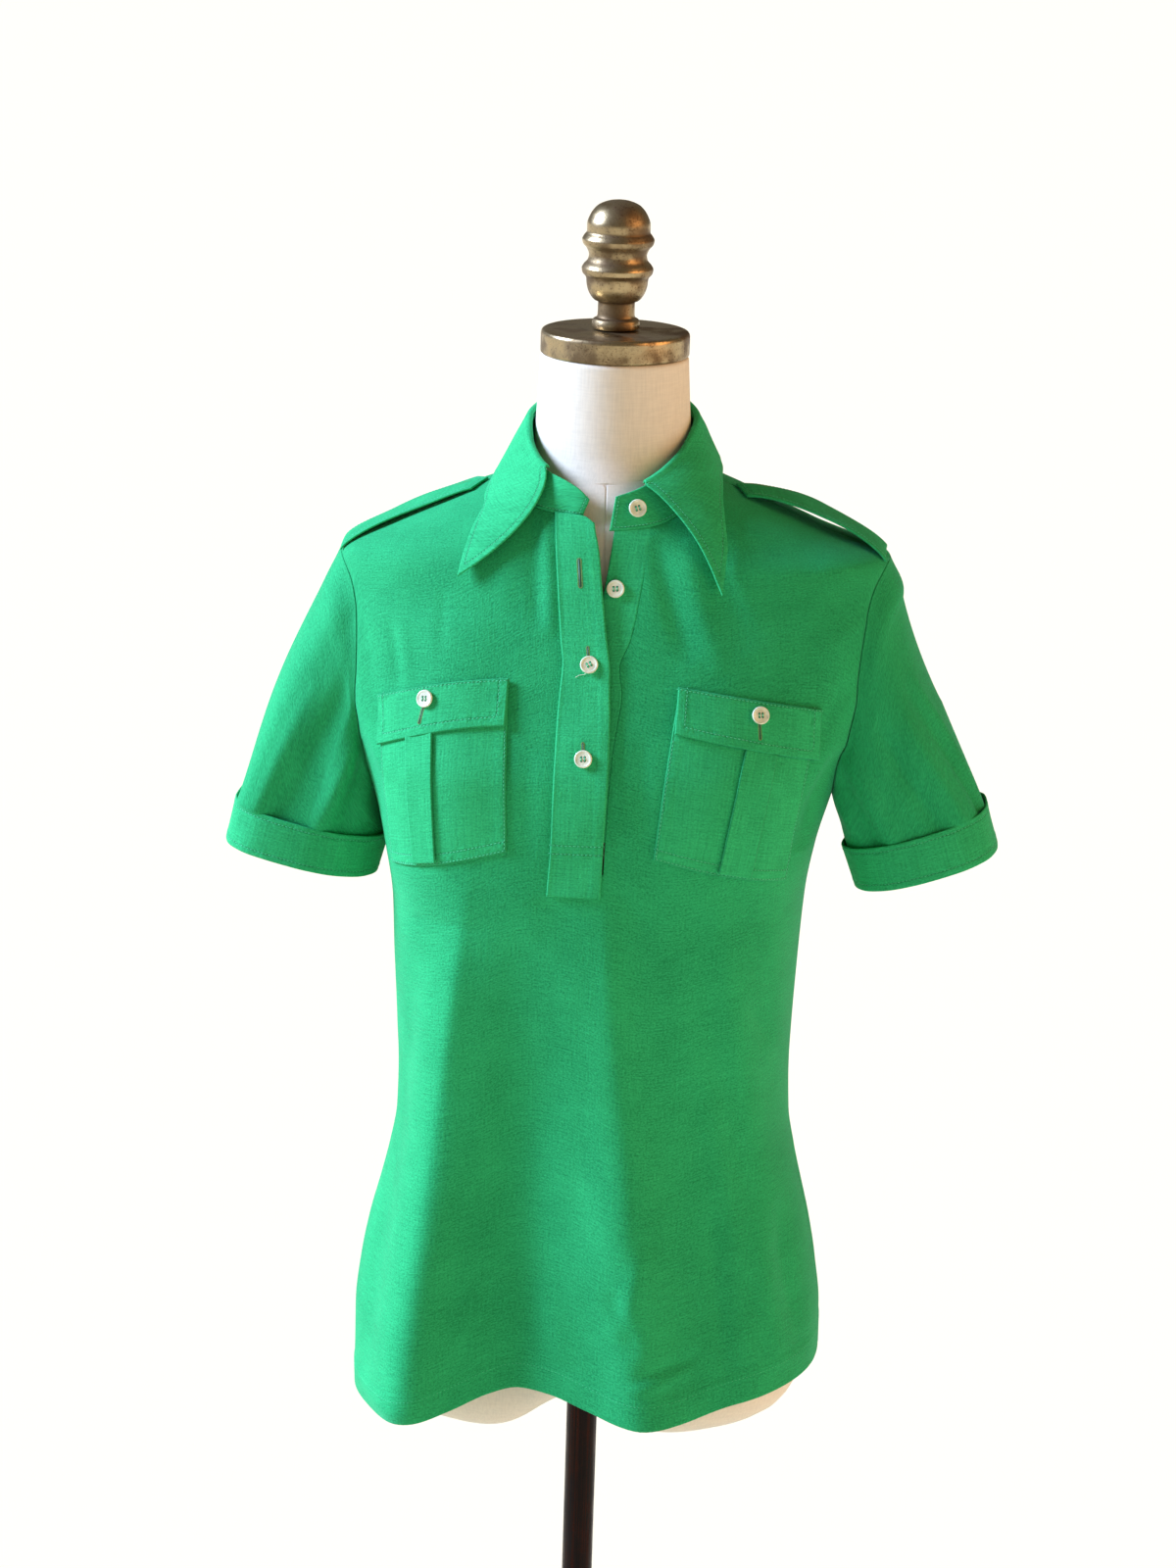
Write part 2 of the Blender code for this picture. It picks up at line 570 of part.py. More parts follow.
# --- sleeves -----------------------------------------------------------------------
def arm_ring(row):
    """Return the armhole's edge on the cloth, from the underarm by the front."""
    z = arm_levels()
    ahead = CLOTH.angle_at_y(-arm_depth(row.front), z)
    behind = CLOTH.angle_at_y(arm_depth(row.back), z)
    ahead[[0, -1]] = 90.0
    behind[[0, -1]] = 90.0
    front = CLOTH.point(row.side * ahead, z)
    back = CLOTH.point(row.side * behind, z)
    return np.concatenate([front, back[-2:0:-1]])


def band_ring(row, drop, grow):
    """Return a tilted ring of the sleeve's end, from its inner side by the front."""
    turn = np.radians(spaced(0.0, 360.0, 2 * ARM_STEPS)[:-1])
    out = -np.cos(turn) * (row.half_width + grow)
    x = row.x + row.side * out
    y = row.y - np.sin(turn) * (row.half_depth + grow)
    z = row.z + row.rise * out - drop
    return np.stack([x + row.side * row.rise * drop, y, z + lean(x, z)], axis=-1)


def sleeve(row):
    """Build a sleeve and its turned-up band."""
    inset = DOUBLE + BAND_CLEAR
    armhole = arm_ring(row)
    top = band_ring(row, 0.0, -inset)
    low = band_ring(row, BAND_HEIGHT - BAND_TUCK, -inset)
    start = armhole + unit(top - armhole) * SEAM
    share = spaced(0.0, 1.0, SLEEVE_BANDS)[:, None, None]
    body = start[None] * (1 - share) + top[None] * share
    grid = np.concatenate([body + sleeve_swell(share, row), low[None]])
    normals = -row.side * grid_normals(grid, ring=True)
    wall("sleeve_" + row.name, grid, grid - normals * JERSEY, GREEN, ring=True)
    drops = (0.0, BAND_MIDDLE, BAND_HEIGHT)
    outer = np.array([band_ring(row, drop, 0.0) for drop in drops])
    inner = np.array([band_ring(row, drop, -DOUBLE) for drop in drops])
    wall("cuff_band_" + row.name, outer, inner, WOVEN_GREEN, ring=True)


def sleeve_swell(share, row):
    """Return the soft fullness of the sleeve between its seam and its band."""
    turn = np.radians(spaced(0.0, 360.0, 2 * ARM_STEPS)[:-1])
    bulge = np.sin(np.pi * share) ** SWELL_POWER
    forward = -np.sin(turn)[None, :, None] * np.array([0.0, 1.0, 0.0])
    outward = np.clip(-np.cos(turn), 0.0, 1.0)[None, :, None] * np.array([row.side, 0.0, SWELL_UP])
    return bulge * (SLEEVE_FORWARD * forward + row.fullness * outward)


# --- collar ------------------------------------------------------------------------
def stations(table, at):
    """Return smooth values of a table of points at fractional row numbers."""
    table = np.array(table, float)
    index = np.arange(len(table))
    return np.stack([curve(index, table[:, k])(at) for k in range(table.shape[1])], axis=-1)


def stand_top(at):
    """Return the top of the stand at fractional stations."""
    points = stations(STAND_TOP, at)
    points[..., 2] += lean(points[..., 0], points[..., 2])
    return points


def stand_grid(at):
    """Return the stand's outside, from its seam to its top, at fractional stations."""
    top = stand_top(at)
    top[:, 2] -= STAND_DROP
    angle = curve(np.arange(len(STAND_ANGLE)), STAND_ANGLE)(at)
    neck_z = column(NECKLINE, 1)(wrapped(angle))
    low = CLOTH.point(angle, neck_z) + np.array([0.0, 0.0, STAND_LIFT])
    share = spaced(0.0, 1.0, 2)[:, None, None]
    return low[None] * (1 - share) + top[None] * share


def collar_wall(name, grid):
    """Build a piece of the collar inward from a grid that runs from left to right round the back."""
    normals = grid_normals(grid)
    at_back = normals[len(grid) // 2, grid.shape[1] // 2, 1]
    wall(name, grid, grid - normals * DOUBLE * np.sign(at_back), WOVEN_GREEN)


def collar_stand():
    """Build the standing band of the collar."""
    collar_wall("collar_stand", stand_grid(spaced(0.0, len(STAND_TOP) - 1.0, STAND_COLUMNS)))


def hump(t):
    """Return 1 half way along and 0 at both ends."""
    return 4.0 * t * (1 - t)


def collar_fall():
    """Build the fall of the collar with its two long points."""
    table = stations(FALL_EDGE, spaced(0.0, len(FALL_EDGE) - 1.0, FALL_COLUMNS))
    bow = table[:, 4:]
    edge = table[:, 1:4]
    edge[:, 2] += lean(edge[:, 0], edge[:, 2])
    top = stand_top(table[:, 0])
    up = np.array([0.0, 0.0, 1.0])
    out = unit((top - np.array([*NECK_CENTRE, 0.0])) * (1 - up))
    centre = top + out * (FOLD_RADIUS - DOUBLE) + up * SEAM
    rows = []
    for turn in np.radians(FOLD_TURNS):
        rows.append(centre + (out * math.cos(turn) + up * math.sin(turn)) * FOLD_RADIUS)
    side = centre + out * (FOLD_RADIUS + FALL_OUT)
    for t in FALL_SHARES:
        rows.append(side * (1 - t) + edge * t + (out + bow) * hump(t))
    collar_wall("collar_fall", np.array(rows))


# --- pieces that lie on the panels ---------------------------------------------------
def on_front(x, z, inside, outside, name, finish):
    """Build a piece from points of the front, moved out to the two distances."""
    angle = CLOTH.angle_at_x(x, z)
    base = CLOTH.point(angle, z)
    normals = CLOTH.normal(angle, z)
    wall(name, base + normals * outside, base + normals * inside, finish)


def four_corner(corners, columns, rows):
    """Return the grid of x and z between four corners."""
    (ax, az), (bx, bz), (cx, cz), (dx, dz) = corners
    u = spaced(0.0, 1.0, columns)[None, :]
    v = spaced(0.0, 1.0, rows)[:, None]
    x = (ax * (1 - u) + bx * u) * (1 - v) + (cx * (1 - u) + dx * u) * v
    z = (az * (1 - u) + bz * u) * (1 - v) + (cz * (1 - u) + dz * u) * v
    return x, z


def pocket(side):
    """Build the pocket, its pleat and its flap."""
    body_in, body_out = LIE, LIE + JERSEY
    layer_in = body_out + STACK
    x, z = four_corner(POCKETS[side], 7, 8)
    on_front(x, z, body_in, body_out, "pocket_" + side, WOVEN_GREEN)
    x, z = four_corner(PLEATS[side], 2, 5)
    on_front(x, z, layer_in, layer_in + JERSEY, "pocket_pleat_" + side, WOVEN_GREEN)
    x, z = four_corner(FLAPS[side], 7, 2)
    on_front(x, z, layer_in, layer_in + DOUBLE, "pocket_flap_" + side, WOVEN_GREEN)


def placket_strip(left, right, heights, cells):
    """Return x and z of a strip between two lines, its top cut to the neckline."""
    u = spaced(0.0, 1.0, cells)[None, :]
    x = left[:, None] * (1 - u) + right[:, None] * u
    z = heights[:, None] + 0.0 * u
    z[-1] = column(NECKLINE, 1)(CLOTH.angle_at_x(x[-1], z[-1])) - SEAM
    return x, z


def placket():
    """Build the over-placket and the under-placket."""
    heights = np.array(PLACKET_ROWS)
    left = column(PLACKET_LINES, 1)(heights)
    right = column(PLACKET_LINES, 2)(heights)
    x, z = placket_strip(left, right, heights, 3)
    on_front(x, z, LIE, LIE + DOUBLE, "placket_over", WOVEN_GREEN)
    rows = slice(UNDER_FIRST_ROW, len(heights) - 1)
    seam = column(PLACKET_LINES, 3)(heights[rows]) - UNDER_GAP
    free = np.maximum(seam - UNDER_SHOWN, left[rows] + OVER_LAP + UNDER_CLEAR)
    x, z = placket_strip(free, seam, heights[rows], 2)
    on_front(x, z, -DOUBLE, -UNDER_SINK, "placket_under", WOVEN_GREEN)


# --- shoulder straps -----------------------------------------------------------------
def shoulder_point(x, y):
    """Return the height of the cloth over x, y on the shoulder."""
    low = np.full(np.broadcast(x, y).shape, SEARCH_Z[0])
    high = np.full(low.shape, SEARCH_Z[1])
    for _ in range(SEARCH_STEPS):
        mid = (low + high) / 2
        depth = np.where(y < 0, CLOTH.front(mid), CLOTH.back(mid))
        power = np.where(y < 0, CLOTH.front_power(mid), CLOTH.back_power(mid))
        across = np.abs(x - CLOTH.centre(mid)) / CLOTH.width(mid)
        inside = across ** power + (np.abs(y) / depth) ** power < 1.0
        low = np.where(inside, mid, low)
        high = np.where(inside, high, mid)
    return low + lean(x + 0.0 * y, low)


def strap(row):
    """Build a shoulder strap that bridges the shoulder seam."""
    u = spaced(0.0, 1.0, STRAP_COLUMNS)[None, :]
    v = spaced(-1.0, 1.0, STRAP_CELLS)[:, None]
    reach = row.neck_x - row.sleeve_x
    pointed = STRAP_POINT / abs(reach) * np.abs(v)
    x = row.sleeve_x + reach * u * (1 - pointed)
    y = STRAP_CENTRE_Y + v * STRAP_HALF_WIDTH * np.ones_like(u)
    base = np.stack([x, y, shoulder_point(x, y)], axis=-1)
    bridge = row.rise * np.sin(np.pi * u) ** STRAP_ARCH_POWER + 0.0 * v
    normals = unit(np.cross(np.gradient(base, axis=1), np.gradient(base, axis=0)))
    normals = normals * np.sign(normals[..., 2:])
    low = base + normals * STRAP_LIE
    low[..., 2] += bridge
    wall("shoulder_strap_" + row.name, low + normals * DOUBLE, low, WOVEN_GREEN)


# --- buttons -------------------------------------------------------------------------
def button_mesh():
    """Return a four-hole button lying on z = 0, in millimetres."""
    work = bmesh.new()
    turns = [2 * math.pi * k / BUTTON_SIDES for k in range(BUTTON_SIDES)]
    rings = []
    for share, height in BUTTON_PROFILE:
        r = BUTTON_RADIUS * share
        z = BUTTON_HEIGHT * height
        rings.append([work.verts.new((r * math.cos(t), r * math.sin(t), z)) for t in turns])
    for low, high in zip(rings, rings[1:]):
        for k in range(BUTTON_SIDES):
            n = (k + 1) % BUTTON_SIDES
            work.faces.new((low[k], low[n], high[n], high[k]))
    face = BUTTON_HEIGHT * BUTTON_PROFILE[-1][1]
    holes = []
    for q in range(HOLES):
        turn = math.pi * (2 * q + 1) / HOLES
        cx = BUTTON_HOLE_OUT * math.cos(turn)
        cy = BUTTON_HOLE_OUT * math.sin(turn)
        corners = [turn + 2 * math.pi * k / HOLE_SIDES for k in range(HOLE_SIDES)]
        spots = [(cx + BUTTON_HOLE * math.cos(t), cy + BUTTON_HOLE * math.sin(t)) for t in corners]
        low = [work.verts.new((x, y, 0.0)) for x, y in spots]
        high = [work.verts.new((x, y, face)) for x, y in spots]
        for k in range(HOLE_SIDES):
            n = (k + 1) % HOLE_SIDES
            work.faces.new((low[k], low[n], high[n], high[k]))
        holes.append((low, high))
    fill_ring(work, rings[0], [h[0] for h in holes])
    fill_ring(work, rings[-1], [h[1] for h in holes])
    bmesh.ops.recalc_face_normals(work, faces=work.faces)
    mesh = bpy.data.meshes.new("button")
    work.to_mesh(mesh)
    work.free()
    return mesh


def fill_ring(work, rim, holes):
    """Fill the flat face between a rim and its holes."""
    edges = []
    for loop in [rim, *holes]:
        for a, b in zip(loop, loop[1:] + loop[:1]):
            edges.append(work.edges.get((a, b)) or work.edges.new((a, b)))
    bmesh.ops.triangle_fill(work, use_beauty=True, use_dissolve=False, edges=edges)


def put_button(shape, name, seat, normal, spin):
    """Place a copy of the button on a seat, turned about its own axis."""
    side = unit(np.cross(np.array([0.0, 0.0, 1.0]), normal))
    up = np.cross(normal, side)
    c = math.cos(spin)
    s = math.sin(spin)
    ax = side * c + up * s
    ay = up * c - side * s
    points = [seat + ax * v.co.x + ay * v.co.y + normal * v.co.z for v in shape.vertices]
    faces = [tuple(p.vertices) for p in shape.polygons]
    mesh_object(name, points, faces, PEARL)


ON_PLACKET = LIE + DOUBLE + STACK
ON_FLAP = LIE + JERSEY + STACK + DOUBLE + STACK
# Buttons on the front. name, x, z, distance of the seat from the cloth, spin
FRONT_BUTTONS = (
    ("button_placket_2", 13.0, 1130.3, STACK, 0.2),
    ("button_placket_3", -1.1, 1081.4, ON_PLACKET, 0.5),
    ("button_placket_4", -1.5, 1022.1, ON_PLACKET, 0.8),
    ("button_pocket_L", -107.6, 1053.2, ON_FLAP, 0.1),
    ("button_pocket_R", 111.2, 1049.0, ON_FLAP, 0.4),
)
STAND_SPIN = 0.3


def stand_seat():
    """Return the point and normal of the stand where its button sits."""
    grid = stand_grid(STAND_BUTTON_AT + np.array([-STATION_STEP, 0.0, STATION_STEP]))
    across = grid[1, 2] - grid[1, 0]
    upward = grid[2, 1] - grid[0, 1]
    normal = unit(np.cross(upward, across))
    if normal[1] > 0:
        normal = -normal
    return grid[1, 1] + normal * STACK, normal


def buttons():
    """Build the buttons of the stand, placket and pockets."""
    shape = button_mesh()
    for name, x, z, out, spin in FRONT_BUTTONS:
        angle = float(CLOTH.angle_at_x(x, z))
        normal = CLOTH.normal(angle, z)
        put_button(shape, name, CLOTH.point(angle, z) + normal * out, normal, spin)
    seat, normal = stand_seat()
    put_button(shape, "button_stand", seat, normal, STAND_SPIN)
    bpy.data.meshes.remove(shape)


# --- dress form ----------------------------------------------------------------------
FORM_SIDES = 30
FORM_LEVELS = (1271.9, 1253.0, 1235.0, 1220.0, 1208.0, 1198.0, 1190.0, 1182.0, 1174.0, 1166.0,
               1157.0, 1147.0, 1138.0, 1128.0, 1110.0, 1084.0, 1052.0, 1020.0, 990.0, 955.0,
               915.0, 870.0, 820.0, 770.0, 720.0, 670.0, 625.0, 590.0, 562.0)
# Rounded underside, from the rim in. share of the section, depth share
UNDER = ((0.99, 0.35), (0.95, 0.64), (0.86, 0.86), (0.70, 0.97), (0.45, 1.0), (0.22, 1.0))


def form_torso():
    """Build the limbless form with two rounded ends and a blind socket."""
    turn = spaced(0.0, 360.0, FORM_SIDES)[:-1]
    rings = [FORM.point(turn, np.full(FORM_SIDES, z)) for z in FORM_LEVELS]
    rim = rings[-1]
    around = np.radians(turn)
    hole = POLE_RADIUS + POLE_FIT
    circle = np.stack([hole * np.sin(around), -hole * np.cos(around)], axis=-1)
    for share, depth in UNDER:
        flat = rim[:, :2] * share
        floor = LOBE_Z + (SOCKET_FLOOR_Z - LOBE_Z) * np.exp(-(flat[:, 0] / ARCH_REACH) ** 2)
        z = rim[:, 2] + (floor + lean(flat[:, 0], floor) - rim[:, 2]) * depth
        rings.append(np.column_stack([flat, z]))
    for z in (SOCKET_FLOOR_Z, SOCKET_TOP_Z):
        rings.append(np.column_stack([circle, np.full(FORM_SIDES, z)]))
    lathe_rings("form_torso", rings, LINEN)


def lathe_rings(name, rings, finish):
    """Close a stack of rings with a flat face at each end."""
    sides = len(rings[0])
    points = np.concatenate(rings)
    faces = []
    for i in range(len(rings) - 1):
        for j in range(sides):
            k = (j + 1) % sides
            faces.append((i * sides + j, i * sides + k, (i + 1) * sides + k, (i + 1) * sides + j))
    faces.append(tuple(range(sides)))
    last = (len(rings) - 1) * sides
    faces.append(tuple(last + j for j in reversed(range(sides))))
    mesh_object(name, points, faces, finish)


def turned(name, profile, sides, finish):
    """Build a turned piece from its profile."""
    around = np.radians(spaced(0.0, 360.0, sides)[:-1])
    rings = []
    for r, z in profile:
        rings.append(np.column_stack([r * np.cos(around), r * np.sin(around), np.full(sides, z)]))
    lathe_rings(name, rings, finish)


def stand_parts():
    """Build the neck cap, finial, pole and base."""
    turned("neck_cap", CAP_PROFILE, 30, BRASS)
    turned("finial", FINIAL_PROFILE, 18, BRASS)
    pole_top = SOCKET_TOP_Z - POLE_TOP_GAP
    turned("pole", ((POLE_RADIUS, POLE_FOOT_Z), (POLE_RADIUS, pole_top)), 24, BRONZE)
    turned("pole_base", BASE_PROFILE, 30, BRONZE)


def main():
    """Clear the file and build every piece."""
    for old in list(bpy.data.objects):
        bpy.data.objects.remove(old, do_unlink=True)
    front_panel()
    back_panel()
    for row in SLEEVES:
        sleeve(row)
    collar_stand()
    collar_fall()
    placket()
    for side in ("L", "R"):
        pocket(side)
    for row in STRAPS:
        strap(row)
    buttons()
    form_torso()
    stand_parts()


main()
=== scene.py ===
"""Dresses a short-sleeved popover shirt on a limbless form with cloth, stitches and metal.

Sizes are millimetres until a mesh is made. X runs across the chest, Y from front to
back and Z up. The front faces -Y, and L and R are the sides that the front view shows.
"""

import json
import logging
import math
from dataclasses import dataclass, field
from enum import Enum
from functools import cache
from typing import Callable, Optional, Sequence, Union

import bmesh
import bpy
import numpy as np
from mathutils import Matrix

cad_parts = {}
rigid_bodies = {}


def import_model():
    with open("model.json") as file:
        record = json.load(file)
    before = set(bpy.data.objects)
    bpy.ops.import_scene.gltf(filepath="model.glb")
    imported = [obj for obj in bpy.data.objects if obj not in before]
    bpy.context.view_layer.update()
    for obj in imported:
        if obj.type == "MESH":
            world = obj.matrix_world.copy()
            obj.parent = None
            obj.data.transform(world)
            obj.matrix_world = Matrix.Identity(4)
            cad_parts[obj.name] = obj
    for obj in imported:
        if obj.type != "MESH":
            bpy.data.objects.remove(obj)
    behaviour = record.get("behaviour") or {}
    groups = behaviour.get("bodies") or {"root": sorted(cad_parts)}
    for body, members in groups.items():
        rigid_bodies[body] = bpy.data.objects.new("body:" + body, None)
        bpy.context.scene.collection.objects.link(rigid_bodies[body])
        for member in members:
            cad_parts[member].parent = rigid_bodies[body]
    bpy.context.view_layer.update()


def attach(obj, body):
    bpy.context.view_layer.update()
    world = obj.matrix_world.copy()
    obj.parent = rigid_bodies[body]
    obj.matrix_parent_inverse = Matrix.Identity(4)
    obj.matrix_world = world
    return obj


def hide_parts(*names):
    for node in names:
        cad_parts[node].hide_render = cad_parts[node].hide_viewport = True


Array = np.ndarray
Number = Union[float, Array]
Table = Sequence[Sequence[float]]
Outline = tuple[tuple[float, float], ...]
Colour = tuple[float, float, float]
Material = bpy.types.Material
Socket = bpy.types.NodeSocket
Thing = bpy.types.Object
MM = 0.001
LOG = logging.getLogger("shirt")

# --- cloth ---
SEAM = 0.3            # gap between pieces that are sewn together
JERSEY = 1.2          # one layer of body cloth
DOUBLE = 1.6          # two layers pressed flat
TURNED_RISE = 0.24    # how far an edge that is turned under stands up
LEAN = 0.025          # rise of the shoulders toward +X, mm per mm
LEAN_FADE = (1195.0, 1240.0)

# --- levels ---
HEM_Z = 540.0
HEM_BEND_Z = 700.0
UNDERARM_Z = 972.0
NECK_BEND_Z = 1105.0
TIP_Z = 1137.0
SIDE_NECK_Z = 1192.0
NOTCH_Z = 942.0
SEARCH_Z = (1060.0, 1209.0)
SEARCH_STEPS = 40
ANGLE_STEP = 0.8
HEIGHT_STEP = 1.5

# Outside of the cloth. z, half width, centre x, front, back, front power, back power
CLOTH_SECTIONS = (
    (505, 166, 2, 112, 121, 2.6, 2.4), (540, 166.5, 2, 111, 121, 2.6, 2.4),
    (585, 166.5, 1.5, 108, 120, 2.5, 2.4), (620, 162.8, 1, 106, 117, 2.4, 2.3),
    (650, 157.3, 1, 105, 113, 2.4, 2.3), (680, 149.8, 1.2, 104, 108, 2.4, 2.3),
    (705, 144, 1.2, 104, 103, 2.4, 2.3), (735, 139, 1, 105, 98, 2.4, 2.3),
    (770, 138, 0.6, 107, 95, 2.4, 2.3), (800, 138.8, 0.4, 110, 94, 2.5, 2.3),
    (850, 140.8, 0.6, 116, 95, 2.6, 2.3), (900, 143.2, 1.4, 122, 99, 2.7, 2.3),
    (940, 149.2, 1.8, 127, 103, 2.8, 2.3), (972, 157, 2.8, 129, 106, 2.8, 2.3),
    (1000, 166.5, 2.5, 128.5, 109, 2.7, 2.3), (1030, 181, 3, 122, 110, 2.4, 2.3),
    (1054, 191, 3, 114, 110, 2.3, 2.3), (1095, 197, 3.5, 101, 107.5, 2.2, 2.2),
    (1126, 192, 4, 92, 104, 2.1, 2.1), (1137, 188, 4, 88.5, 102, 2.1, 2.1),
    (1157, 146, -1, 82, 96.5, 2.1, 2.1), (1177, 101, -1, 74, 87, 2, 2.1),
    (1192, 68.5, 1, 67.5, 77, 2, 2.1), (1210, 56, 2, 59, 69, 2, 2.1),
)
# Outside of the form: same columns
FORM_SECTIONS = (
    (560, 156, 1.5, 86, 106, 2.2, 2.1), (600, 158.5, 1.5, 89, 110, 2.1, 2.1),
    (640, 151.5, 1, 88, 105, 2.1, 2.1), (680, 141, 1, 86, 97, 2.1, 2.1),
    (720, 130.5, 0.8, 83, 87, 2.1, 2.1), (760, 122.5, 0.5, 81, 79, 2.1, 2.1),
    (800, 119, 0.3, 81, 75, 2.1, 2.1), (840, 120, 0.3, 84, 76, 2.1, 2.1),
    (880, 126, 0.6, 93, 81, 2.2, 2.1), (920, 134, 1, 106, 88, 2.4, 2.1),
    (960, 143.5, 1.5, 118, 95, 2.6, 2.1), (990, 151, 2, 122, 99, 2.6, 2.1),
    (1020, 160, 2.5, 117, 102, 2.4, 2.1), (1050, 167, 3, 108, 103, 2.2, 2.1),
    (1080, 172, 3.5, 98, 102.5, 2.1, 2.1), (1110, 177, 4, 90, 99.5, 2.1, 2.1),
    (1127, 179.5, 4, 85.5, 97.5, 2.1, 2.1), (1137, 175, 4, 82.5, 96, 2.1, 2.1),
    (1147, 156.5, 3.8, 79.5, 93.5, 2.1, 2.1), (1157, 135, 3.5, 76.5, 90.5, 2.1, 2.1),
    (1167, 112.5, 3.2, 73, 87, 2.1, 2.1), (1177, 90.5, 3, 69, 82, 2, 2.1), (1187, 69, 2.5, 62.5, 73, 2, 2),
    (1197, 58.5, 2, 57.5, 63.5, 2, 2), (1212, 53.8, 1, 53.5, 56, 2, 2), (1235, 52, 0.3, 51.8, 52.5, 2, 2),
    (1271.9, 50, 0, 50, 50, 2, 2),
)

FOLD_RUN = 1.2
FOLD_SIDE_POWER = 10
# Vertical folds. top x, top z, low x, low z, reach, lift
FRONT_FOLDS = (
    (-82, 960, -120, 540, 30, 21), (-30, 900, -38, 540, 30, -13), (14, 930, 54, 540, 30, 15),
    (92, 950, 128, 600, 26, 5),
)
BACK_FOLDS = ((-70, 980, -98, 540, 30, 8), (-8, 900, -14, 540, 26, -6), (62, 960, 82, 540, 32, 9))
# Hem heights. x at the hem, z
FRONT_HEM = (
    (-165, 526), (-140, 529), (-113, 533), (-85, 541), (-58, 552), (-37, 556.5), (-15, 555), (12, 548),
    (35, 541.5), (54, 539), (78, 541), (115, 550), (147, 555), (168, 557),
)
BACK_HEM = ((-165, 526), (-90, 538), (0, 546), (90, 550), (168, 557))
# Top edge of the body panels. angle from the centre front, z
NECKLINE = (
    (-180, 1206), (-130, 1201), (-90, 1192), (-65, 1190), (-46, 1185.5), (-30, 1180.5), (-17, 1177.3),
    (-6, 1175.5), (3, 1167.5), (15, 1169.5), (30, 1176), (46, 1184.5), (65, 1189.5), (90, 1192),
    (130, 1201), (180, 1206),
)
# Placket opening. z, left seam x, over-placket right edge x, right seam x
PLACKET_LINES = (
    (927.5, -24, 12.5, 13.5), (965, -21.8, 13.5, 14.5), (1015, -21.2, 15.2, 16.5), (1045, -21, 14.5, 19.5),
    (1062, -20.5, 13.4, 21.4), (1080, -19.5, 12.4, 18.8), (1098, -21.8, 9.3, 25.2),
    (1130, -25.5, 4.5, 30.5), (1158, -28.5, 0.5, 34), (1182, -30.5, -3.5, 36),
)


# --- numbers ---
def curve(xs: Sequence[float], ys: Sequence[float]) -> Callable[[Number], Array]:
    """Make a smooth function through points that never overshoots them.

    Args:
        xs: rising places of the points.
        ys: values there.

    Returns:
        A function of one place or an array of places.
    """
    xs = np.asarray(xs, float)
    ys = np.asarray(ys, float)
    step = np.diff(xs)
    slope = np.diff(ys) / step
    tangent = np.zeros_like(ys)
    tangent[[0, -1]] = slope[[0, -1]]
    product = slope[:-1] * slope[1:]
    safe = np.where(product > 0, slope[:-1] + slope[1:], 1)
    tangent[1:-1] = np.where(product > 0, 2 * product / safe, 0)

    def value(x: Number) -> Array:
        """Read the curve.

        Args:
            x: where.

        Returns:
            The values there.
        """
        x = np.clip(np.asarray(x, float), xs[0], xs[-1])
        i = np.clip(np.searchsorted(xs, x, side="right") - 1, 0, len(step) - 1)
        t = (x - xs[i]) / step[i]
        bend = tangent[i] * t * (1 - t) ** 2 + tangent[i + 1] * t * t * (t - 1)
        return ys[i] + (ys[i + 1] - ys[i]) * (3 - 2 * t) * t * t + step[i] * bend

    return value


def column(rows: Table, index: int) -> Callable[[Number], Array]:
    """Make a curve of one column of a table over its first column.

    Args:
        rows: the table.
        index: the column.

    Returns:
        A function of the first column's values.
    """
    table = np.array(rows, float)
    return curve(table[:, 0], table[:, index])


def stations(table: Table, at: Array) -> Array:
    """Return smooth values of a table of points at fractional row numbers.

    Args:
        table: the points, one a row.
        at: the fractional row numbers.

    Returns:
        One row of values for each number in at.
    """
    rows = np.array(table, float)
    index = np.arange(len(rows))
    return np.stack([curve(index, rows[:, k])(at) for k in range(rows.shape[1])], axis=-1)


def spaced(start: float, end: float, count: int) -> Array:
    """Return count + 1 values from start to end."""
    return np.linspace(start, end, count + 1)


def ramp(value: Number, low: float, high: float) -> Array:
    """Return a smooth rise from 0 at low to 1 at high."""
    t = np.clip((np.asarray(value, float) - low) / (high - low), 0, 1)
    return t * t * (3 - 2 * t)


def bell(distance: Number, reach: float) -> Array:
    """Return a soft hump that is 1 at no distance and dies away past its reach."""
    return np.exp(-((np.asarray(distance, float) / reach) ** 2))


def hump(t: Number) -> Array:
    """Return 1 half way along and 0 at both ends."""
    return 4.0 * np.asarray(t, float) * (1 - np.asarray(t, float))


def unit(vectors: Array) -> Array:
    """Return the vectors scaled to length one."""
    length = np.linalg.norm(vectors, axis=-1, keepdims=True)
    return vectors / np.maximum(length, 1e-9)


def marks(length: float, pitch: float, rim: float = 0.8) -> Array:
    """Return shares along an edge, close together at its two ends.

    Args:
        length: the edge's length in mm.
        pitch: the step away from the ends in mm.
        rim: how far the rounded ends reach in mm.

    Returns:
        Rising shares from 0 to 1.
    """
    inner = spaced(2 * rim, length - 2 * rim, max(2, round(length / pitch)))
    ends = np.array([0, 0.1 * rim, 0.35 * rim, rim])
    return np.concatenate([ends, inner, length - ends[::-1]]) / length


def between(low: float, high: float, pitch: float) -> Array:
    """Return places from low to high, close together at both ends."""
    return low + (high - low) * marks(high - low, pitch)


def grid_normals(points: Array, ring: bool = False) -> Array:
    """Return the normals of a grid of points.

    Args:
        points: rows by columns by 3.
        ring: whether the last column joins the first.

    Returns:
        Unit normals in the same layout.
    """
    down = np.gradient(points, axis=0)
    if ring:
        across = (np.roll(points, -1, axis=1) - np.roll(points, 1, axis=1)) / 2
    else:
        across = np.gradient(points, axis=1)
    return unit(np.cross(across, down))


